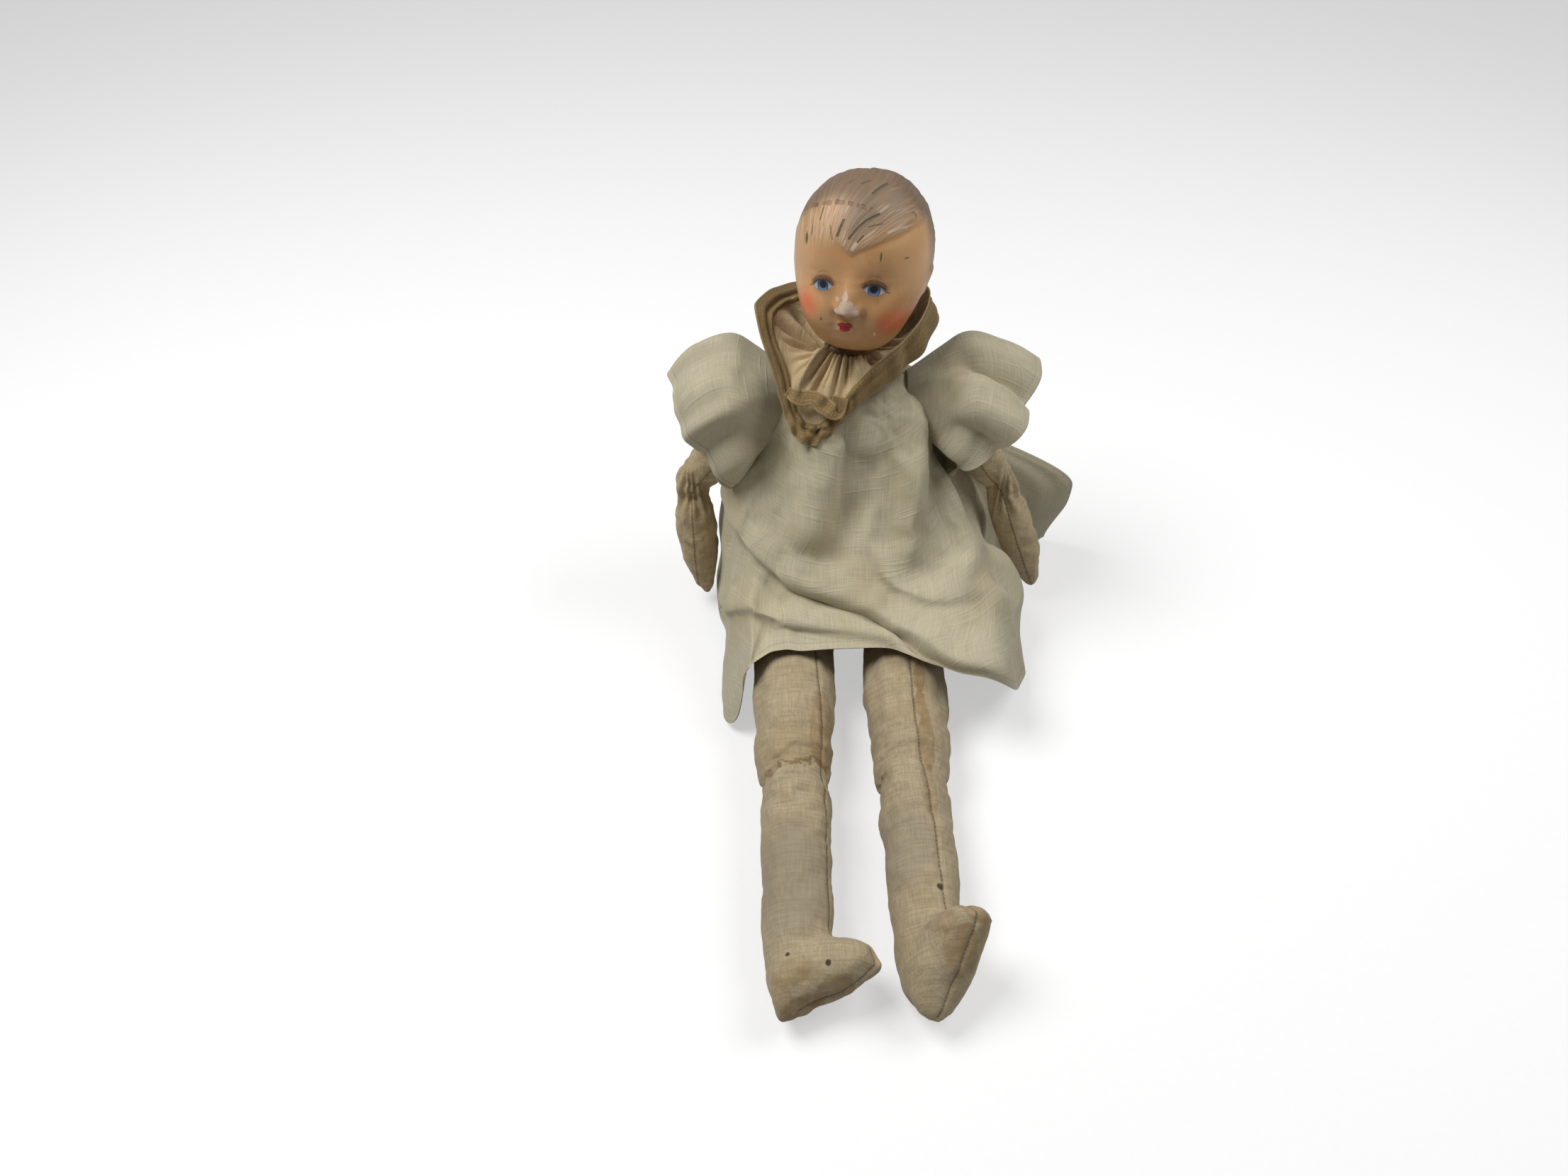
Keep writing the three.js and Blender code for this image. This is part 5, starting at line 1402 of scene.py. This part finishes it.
def make_smock(sizes, colours):
    """The smock: its front in two halves over the thighs, and its back with the buttoned neck."""
    columns, rows = 240, 170
    u, s = sheet_grid((-pi / 2, pi / 2), (0, 1), columns, rows)
    place = smock_surface(u, s)
    for line, rise, above, below, lean, ends in FRONT_FOLDS:
        turn, run = np.array(line).T
        place = folded(place, smock_surface(turn, run), rise, above, below, lean, ends)
    clear = 1 - 0.75 * smooth(np.abs(place[..., 0]), 58, 76)
    drift = 1.2 * sway(70 * u, 170 * s, 36, 150, 11) + 0.3 * sway(70 * u, 170 * s, 12, 30, 12)
    place += (drift * smooth(s, 0.05, 0.4) * clear)[..., None] * cloth_normals(place)
    corner = smooth(s, 0.85, 1) * smooth(np.abs(u), 1.25, 1.5)
    place += corner[..., None] * CORNER_SHIFT
    under = ["stuffed_torso", "stuffed_leg_left", "stuffed_leg_right"]
    place = settled(place, 3, under)
    hold = np.maximum(0.36, np.maximum(smooth(np.abs(u), 1.4, 1.55), smooth(s, 0.12, 0.03)))
    place = settled(draped(place, hold, under, 0.04, 26), 9, under)
    ease = (0.25 * smooth(s, 0.75, 1) * bell(u, 0.85, 0.3))[:, 1:-1, None]
    for _ in range(CORNER_ROUNDS):
        place[:, 1:-1] += ease * (place[:, :-2] + place[:, 2:] - 2 * place[:, 1:-1])
    edges = {0: place[:, -1], -1: place[:, 0]}
    half = columns // 2
    for side, part in {"right": slice(0, half + 1), "left": slice(half, None)}.items():
        sheet = cloth_sheet(f"skirt_front_{side}", place, part)
        clear_armholes(sheet)
        area = cloth_area(sheet)
        apply(sheet, "SOLIDIFY", thickness=sizes.linen, offset=-1)
        finish = linen_finish(f"linen_front_{side}", sizes, colours)
        finish_piece(sheet, finish, ["smock_front_panel"])
        keep_normals(sheet)
        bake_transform(sheet)

    u, s = sheet_grid((pi / 2, 1.5 * pi), (0, 1), columns, rows)
    place = smock_surface(u, s)
    drift = 1.4 * sway(75 * u, 170 * s, 24, 160, 21) + 0.5 * sway(75 * u, 170 * s, 9, 60, 22)
    gather = 0.7 * np.sin(46 * u + 2 * np.sin(7 * u)) * smooth(s, 0.3, 0.05)
    drift *= 1 - 0.5 * bell(u, 2.15, 0.35)
    place += (drift * smooth(s, 0.05, 0.5) + gather)[..., None] * cloth_normals(place)
    closing = smock_surface(np.full(5, pi), np.linspace(0, 0.42, 5))
    place = folded(place, closing, 1.3, 5, 1.2, 0, (0, 0.1))
    place = settled(place, 2, ["stuffed_torso"])
    share = np.linspace(0, 1, columns + 1)
    for column, fade in ((0, smooth(share, SEAM_FADE, 0)), (-1, smooth(share, 1 - SEAM_FADE, 1))):
        gap = edges[column] - place[:, column]
        place += gap[:, None] * fade[None, :, None]
    back = cloth_sheet("smock_back", place)
    clear_armholes(back)
    area = cloth_area(back)
    apply(back, "SOLIDIFY", thickness=sizes.linen, offset=-1)
    finish_piece(back, linen_finish("linen_back", sizes, colours, BACK_SOIL), ["smock_back_panel"])
    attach(back, "torso")


SLEEVE_ROWS = {
    # share down the arm, distance outwards, radius and tip in degrees, armhole first
    "left": ((0, -21, 13, 0), (0.044, 4.8, 34, 8.6), (0.128, 14.4, 38, 23.6), (0.22, 18, 39.5, 43)),
    "right": ((0, -21, 13, 0), (0.062, 4.8, 34, 6.8), (0.18, 14.4, 38, 18.7), (0.31, 16, 35, 34)),
}


def sleeve_surface(side, u, s):
    """A sleeve at turn u and run s from the armhole to the hem, unfolded."""
    hand = HANDED[side]
    share, out, radius, tip = np.moveaxis(along(SLEEVE_ROWS[side], s), -1, 0)
    centre = SHOULDER[side] + share[..., None] * (ELBOW[side] - SHOULDER[side])
    centre = centre + np.stack([hand * out, 0 * out, 0 * out], -1)
    tip = np.radians(tip)
    up = np.stack([hand * np.sin(tip), 0 * tip, np.cos(tip)], -1)
    aside = np.stack([0 * u, np.sin(u), 0 * u], -1)
    return centre + radius[..., None] * (up * np.cos(u)[..., None] + hand * aside)


SLEEVE_FOLDS = {
    # turn at the armhole and at the hem, rise, spread and where it starts to show
    "left": (
        (-0.3, -0.5, -12, 6, 0.35), (-0.9, -1.1, 5, 12, 0.35), (-1.45, -1.5, -10, 5, 0.6),
        (-1.85, -1.95, 7, 8, 0.4), (-2.4, -2.5, -5, 7, 0.4), (0.3, 0.3, 5, 12, 0.35),
        (1.4, 1.2, -4, 9, 0.35), (2.4, 2.2, 4, 9, 0.35),
    ),
    "right": (
        (0.3, 0.5, -3, 14, 0.3), (0.9, 1.1, 6, 20, 0.35), (1.45, 1.5, -8, 8, 0.5),
        (1.9, 2.05, 8, 13, 0.4), (2.5, 2.7, -3, 11, 0.4), (-0.3, -0.3, 4, 16, 0.35),
        (-1.4, -1.2, -3, 12, 0.35), (-2.4, -2.2, 3, 12, 0.35),
    ),
}


def make_sleeves(sizes, colours):
    """Both wide sleeves, gathered at the armhole and loose at the narrow hem."""
    u, s = sheet_grid((-pi, pi), (0, 1), 200, 72)
    for side, hand in HANDED.items():
        place = sleeve_surface(side, u, s)
        for start, end, rise, wide, shows in SLEEVE_FOLDS[side]:
            line = sleeve_surface(side, np.linspace(start, end, 6), np.linspace(0.1, 1, 6))
            place = folded(place, line, rise, wide, wide, 0, (shows, 0))
        wave = 0.9 * sway(45 * np.cos(u) + 20 * np.sin(2 * u), 70 * s, 22, 90, 31 + hand)
        place = place + (wave * smooth(s, 0.05, 0.5))[..., None] * cloth_normals(place)
        under = [f"stuffed_arm_{side}", "stuffed_torso"]
        hold = np.maximum(np.maximum(0.3, smooth(s, 0.3, 0.1)), smooth(np.abs(u), 2.9, 3.1))
        place = settled(draped(place, hold, under, 0.03, 20), 12, under)
        place[:, -1] = place[:, 0]
        sleeve = cloth_sheet(f"puff_sleeve_{side}", place)
        merge(sleeve)
        middle = points(sleeve).mean(0)
        if ((points(sleeve) - middle) * normals(sleeve)).sum() < 0:
            sleeve.data.flip_normals()
        area = cloth_area(sleeve)
        apply(sleeve, "SOLIDIFY", thickness=sizes.linen, offset=-1)
        finish = linen_finish(f"linen_sleeve_{side}", sizes, colours, SLEEVE_SOIL[side])
        finish_piece(sleeve, finish, [f"sleeve_{side}"])
        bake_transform(sleeve)


COLLAR_TIP = -0.42
COLLAR_EDGES = (
    # turn, then radius and height of the tape's inner edge and of its free edge
    (-3.2, 33, 177, 41, 184), (-2.4, 42, 188, 51, 195), (-1.6, 45, 191, 55, 200),
    (-1.3, 42, 181, 51.5, 189), (-1.1, 41, 170, 50, 174), (-0.89, 43, 162.5, 51, 159),
    (-0.72, 45.5, 153, 53, 146), (-0.55, 45, 148.5, 51.5, 138), (-0.4, 41, 150, 46, 138),
    (-0.28, 37.5, 156, 38.5, 143.5), (-0.1, 31, 165, 32.5, 151), (0.1, 27.5, 171.5, 29.5, 156),
    (0.34, 25.5, 176, 28, 160), (0.57, 25.5, 179.5, 28, 163), (0.85, 27.5, 184, 29.5, 166),
    (1.2, 31.5, 188.5, 33, 170), (1.6, 39, 195, 43, 177), (2, 47, 199, 55, 184),
    (2.5, 47, 196, 56, 190), (3.2, 33, 177, 41, 184),
)
COLLAR_ROOT = (16.5, 165.0)


def collar_edge(u, first):
    """Radius and height of one edge of the collar's tape."""
    rows = np.array(COLLAR_EDGES).T
    near = np.linspace(-0.1, 0.1, 9)

    def eased(values):
        return np.mean([np.interp(u + step, rows[0], values) for step in near], axis=0)

    return [eased(rows[k]) for k in (first, first + 1)]


def at_turn(u, radius, height):
    """Places round the neck."""
    return np.stack([radius * np.sin(u), NECK_POINT[1] - radius * np.cos(u), height], -1)


def frill_surface(u, s):
    """The gauze at turn u and run s from the neck to the tape, without its gathers."""
    radius, height = collar_edge(u, 1)
    root, base = COLLAR_ROOT
    base = base + 14.5 * smooth(np.cos(u), -0.3, 0.6)
    rise = 0.35 * s + 0.65 * np.abs(s) ** 1.7
    return at_turn(u, root + (radius - root) * s, base + (height - base) * rise)


def tape_surface(u, s):
    """The tape at turn u and run s from the gauze to its free edge."""
    inner, outer = (np.stack(collar_edge(u, k), -1) for k in (1, 3))
    radius, height = np.moveaxis(inner + (outer - inner) * s[..., None], -1, 0)
    return at_turn(u, radius, height)


def gauze_finish(colours):
    """Thin crushed gauze, soiled with age."""
    f = Finish("collar_gauze", Roughness=0.95, Sheen_Weight=0.2, Sheen_Roughness=0.5)
    cloth, place = f.cloth_place(), f.object_place()
    warp = f.noise(f.stretch(cloth, 1900, 40, 1), 1.0, 2.0)
    weft = f.noise(f.stretch(cloth, 80, 1700, 1), 1.0, 2.0)
    crush = f.noise(f.stretch(cloth, 240, 26, 1), 1.0, 3.0, 0.6)
    weave = (0.6 * warp + 0.4 * weft).step(0.35, 0.66)
    tint = f.mix(weave, shade(colours.gauze, 0.78), shade(colours.gauze, 1.12))
    tint = f.mix(crush.step(0.4, 0.7) * 0.4, tint, shade(colours.gauze, 1.3))
    tint = f.mix(f.noise(place, 40.0, 3.0).step(0.5, 0.75) * 0.4, tint, linear(116, 92, 54))
    return f.surface(tint, None, 0.12 * (warp + weft) + 0.5 * crush)


def tape_finish(colours):
    """Ribbed cotton tape, worn along its stitched edges."""
    f = Finish("collar_tape", Roughness=0.9, Sheen_Weight=0.15)
    cloth, place = f.cloth_place(), f.object_place()
    rib = f.noise(f.stretch(cloth, 1500, 60, 1), 1.0, 2.0)
    run = f.noise(f.stretch(cloth, 50, 1200, 1), 1.0, 2.0)
    age = f.noise(place, 55.0, 4.0, 0.65)
    edge = f.noted("edge")
    tint = f.mix((0.5 * (rib + run)).step(0.34, 0.66), shade(colours.tape, 0.74), shade(colours.tape, 1.16))
    tint = f.mix(age.step(0.45, 0.7) * 0.5, tint, linear(150, 126, 84))
    worn = (edge.step(2.2 * MM, 0.0) + 0.8 * (age - 0.5)).step(0.45, 0.7)
    tint = f.mix(worn * 0.45, tint, linear(168, 144, 102))
    sewn = f.math("SINE", f.split(cloth)[0] * 2600.0).step(-0.1, 0.4)
    stitch = abs(edge - 2.6 * MM).step(0.5 * MM, 0.2 * MM) * sewn
    tint = f.mix(stitch * 0.6, tint, linear(176, 156, 118))
    return f.surface(tint, None, 0.15 * (rib + run) + 0.3 * stitch + 0.5 * age)


TAPE_END = (
    # place and width along the loose end
    (-36, -18, 168, 5), (-30, -20, 165, 9), (-22, -20, 165, 8),
    (-16, -22, 161, 10), (-9, -23, 157, 8), (-6.5, -18, 164, 9),
)
TAPE_OUT = np.array([0, -0.72, 0.7])
COLLAR_OPEN = 0.02


def make_collar(sizes, colours):
    """The gathered gauze frill, the tape that binds its free edge and the tape's loose end."""
    turns, columns = (COLLAR_OPEN - pi, pi - COLLAR_OPEN), 420
    u, s = sheet_grid(turns, (0, 1.06), columns, 40)
    place = frill_surface(u, s)
    gather = 1.5 * sway(24 * u, 14 * s, 6, 60, 44) * smooth(s, -0.1, 0.12) * smooth(s, 1.05, 0.35)
    fold = 1.6 * sway(26 * u, 20 * s, 17, 70, 45) * smooth(s, 0, 0.3) * smooth(s, 1.1, 0.6)
    place = place + (gather + fold)[..., None] * cloth_normals(place)
    frill = cloth_sheet("gauze_frill", place)
    area = cloth_area(frill)
    apply(frill, "SOLIDIFY", thickness=sizes.gauze, offset=0)
    finish_piece(frill, gauze_finish(colours), ["collar_frill"])
    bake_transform(frill)

    u, s = sheet_grid(turns, (0, 1), columns, 22)
    place = tape_surface(u, s)
    crease = 0.9 * bell(s, 0.12, 0.1) - 0.8 * bell(s, 0.36, 0.07) + 0.9 * bell(s, 0.6, 0.14)
    crumple = 0.5 * sway(38 * u, 13 * s, 26, 40, 43)
    crumple += 1.1 * sway(50 * u, 13 * s, 10, 16, 46) * bell(u, COLLAR_TIP, 0.25)
    place = place + ((crease + crumple + 0.6) * smooth(s, 0.0, 0.14))[..., None] * cloth_normals(place)
    tape = cloth_sheet("tape_binding", place)
    share = np.linspace(0, 1, 61)
    line = along(TAPE_END, share)
    ahead = np.gradient(line[:, :3], axis=0)
    across = np.cross(ahead, TAPE_OUT)
    across *= (line[:, 3] / 2 / np.linalg.norm(across, axis=1))[:, None]
    side = np.linspace(-1, 1, 13)[:, None, None]
    strip = line[:, :3] + side * across
    ruffle = 0.9 * sway(60 * share[None], 5 * side[..., 0], 18, 20, 47)
    end = cloth_sheet("tape_end", strip + ruffle[..., None] * TAPE_OUT)
    for sheet, wide in ((tape, 0.42), (end, 0.03)):
        area = cloth_area(sheet)
        apply(sheet, "SOLIDIFY", thickness=sizes.tape, offset=-0.4)
        finish_piece(sheet, tape_finish(colours), ["collar_binding"])
        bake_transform(sheet)


def shell_finish(colours):
    """Clouded, polished shell."""
    f = Finish("button_shell", Coat_Weight=0.3, Coat_Roughness=0.2)
    place = f.object_place()
    cloud = f.noise(f.stretch(place, 260, 90, 260), 1.0, 3.0)
    pearl = blended(colours.shell, (0.8, 0.82, 0.8), 0.4)
    tint = f.mix(cloud.step(0.35, 0.7), shade(colours.shell, 0.86), pearl)
    return f.surface(tint, 0.28 + 0.2 * cloud, 0.05 * cloud)


BUTTON_RUN, BUTTON_DEPTH, BUTTON_RIM = 0.13, 1.8, 1.1
HOLE_OFF, HOLE_RADIUS = 1.1, 0.65


def make_button(sizes, colours):
    """The two-holed button at the back of the neck."""
    deselect()
    bpy.ops.mesh.primitive_cylinder_add(vertices=48, radius=sizes.button, depth=BUTTON_DEPTH * MM)
    button = new_piece("shell_button")
    edit_faces(button, [face.normal.z > 0.9 for face in button.data.polygons])
    bpy.ops.mesh.inset(thickness=BUTTON_RIM * MM)
    bpy.ops.mesh.inset(thickness=0.4 * MM, depth=-0.45 * MM)
    bpy.ops.object.mode_set(mode="OBJECT")
    apply(button, "BEVEL", width=0.25 * MM, segments=3, limit_method="ANGLE", angle_limit=radians(35))
    for hand in HANDED.values():
        deselect()
        hole = (HOLE_OFF * hand * MM, 0, 0)
        bpy.ops.mesh.primitive_cylinder_add(vertices=20, radius=HOLE_RADIUS * MM, depth=6 * MM, location=hole)
        drill = bpy.context.active_object
        apply(button, "BOOLEAN", operation="DIFFERENCE", object=drill, solver="EXACT")
        bpy.data.objects.remove(drill)
    low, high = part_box("back_neck_button")
    step = 1e-3
    turns = np.array([pi + step, pi - step, pi, pi])
    runs = BUTTON_RUN + np.array([0, 0, -step, step])
    left, right, above, below = smock_surface(turns, runs)
    out = np.cross(left - right, above - below)
    turn = Vector(out).to_track_quat("Z", "Y").to_matrix().to_4x4()
    button.data.transform(Matrix.Translation((low + high) / 2) @ turn)
    finish_piece(button, shell_finish(colours), ["back_neck_button"])
    button.data.shade_flat()
    pick(button)
    bpy.ops.object.shade_smooth_by_angle(angle=radians(40))
    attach(button, "torso")


# Add-on

class DOLL_OT_stage(bpy.types.Operator):
    """Set up the floor, the lamps and the camera"""

    bl_idname = "doll.stage"
    bl_label = "Stage"

    def execute(self, context):
        make_stage()
        return {"FINISHED"}


class DOLL_OT_torso(bpy.types.Operator):
    """Stuff the torso"""

    bl_idname = "doll.torso"
    bl_label = "Torso"

    def execute(self, context):
        make_torso(context.scene.doll_sizes, context.scene.doll_colours)
        return {"FINISHED"}


class DOLL_OT_legs(bpy.types.Operator):
    """Stuff both legs"""

    bl_idname = "doll.legs"
    bl_label = "Legs"

    def execute(self, context):
        make_legs(context.scene.doll_sizes, context.scene.doll_colours)
        return {"FINISHED"}


class DOLL_OT_arms(bpy.types.Operator):
    """Stuff both arms"""

    bl_idname = "doll.arms"
    bl_label = "Arms"

    def execute(self, context):
        make_arms(context.scene.doll_sizes, context.scene.doll_colours)
        return {"FINISHED"}


class DOLL_OT_neck(bpy.types.Operator):
    """Cover and tie the neck"""

    bl_idname = "doll.neck"
    bl_label = "Neck"

    def execute(self, context):
        make_neck(context.scene.doll_sizes, context.scene.doll_colours)
        return {"FINISHED"}


class DOLL_OT_stitches(bpy.types.Operator):
    """Sew the hips and shoulders"""

    bl_idname = "doll.stitches"
    bl_label = "Stitches"

    def execute(self, context):
        make_stitches(context.scene.doll_sizes, context.scene.doll_colours)
        return {"FINISHED"}


class DOLL_OT_head(bpy.types.Operator):
    """Mould and paint the head"""

    bl_idname = "doll.head"
    bl_label = "Head"

    def execute(self, context):
        make_head(context.scene.doll_sizes, context.scene.doll_colours)
        return {"FINISHED"}


class DOLL_OT_smock(bpy.types.Operator):
    """Hang the smock"""

    bl_idname = "doll.smock"
    bl_label = "Smock"

    def execute(self, context):
        make_smock(context.scene.doll_sizes, context.scene.doll_colours)
        return {"FINISHED"}


class DOLL_OT_sleeves(bpy.types.Operator):
    """Set both sleeves"""

    bl_idname = "doll.sleeves"
    bl_label = "Sleeves"

    def execute(self, context):
        make_sleeves(context.scene.doll_sizes, context.scene.doll_colours)
        return {"FINISHED"}


class DOLL_OT_collar(bpy.types.Operator):
    """Gather and bind the collar"""

    bl_idname = "doll.collar"
    bl_label = "Collar"

    def execute(self, context):
        make_collar(context.scene.doll_sizes, context.scene.doll_colours)
        return {"FINISHED"}


class DOLL_OT_button(bpy.types.Operator):
    """Turn and sew on the neck button"""

    bl_idname = "doll.button"
    bl_label = "Button"

    def execute(self, context):
        make_button(context.scene.doll_sizes, context.scene.doll_colours)
        return {"FINISHED"}


OPERATORS = (
    DOLL_OT_stage, DOLL_OT_torso, DOLL_OT_legs, DOLL_OT_arms, DOLL_OT_neck, DOLL_OT_stitches,
    DOLL_OT_head, DOLL_OT_smock, DOLL_OT_sleeves, DOLL_OT_collar, DOLL_OT_button,
)


class DOLL_PT_sidebar(bpy.types.Panel):
    """Makes the doll piece by piece"""

    bl_label = "Cloth Doll"
    bl_idname = "DOLL_PT_sidebar"
    bl_space_type = "VIEW_3D"
    bl_region_type = "UI"
    bl_category = "Doll"

    def draw(self, context):
        for group in (context.scene.doll_sizes, context.scene.doll_colours):
            box = self.layout.box()
            for name in group.__annotations__:
                box.prop(group, name)
        for operator in OPERATORS:
            self.layout.operator(operator.bl_idname)


CLASSES = (DollSizes, DollColours, *OPERATORS, DOLL_PT_sidebar)


def register():
    for each in CLASSES:
        bpy.utils.register_class(each)
    bpy.types.Scene.doll_sizes = bpy.props.PointerProperty(type=DollSizes)
    bpy.types.Scene.doll_colours = bpy.props.PointerProperty(type=DollColours)


def unregister():
    del bpy.types.Scene.doll_colours
    del bpy.types.Scene.doll_sizes
    for each in reversed(CLASSES):
        bpy.utils.unregister_class(each)


def main():
    register()
    for operator in OPERATORS:
        getattr(bpy.ops.doll, operator.bl_idname.split(".")[1])()


if __name__ == "__main__":
    main()
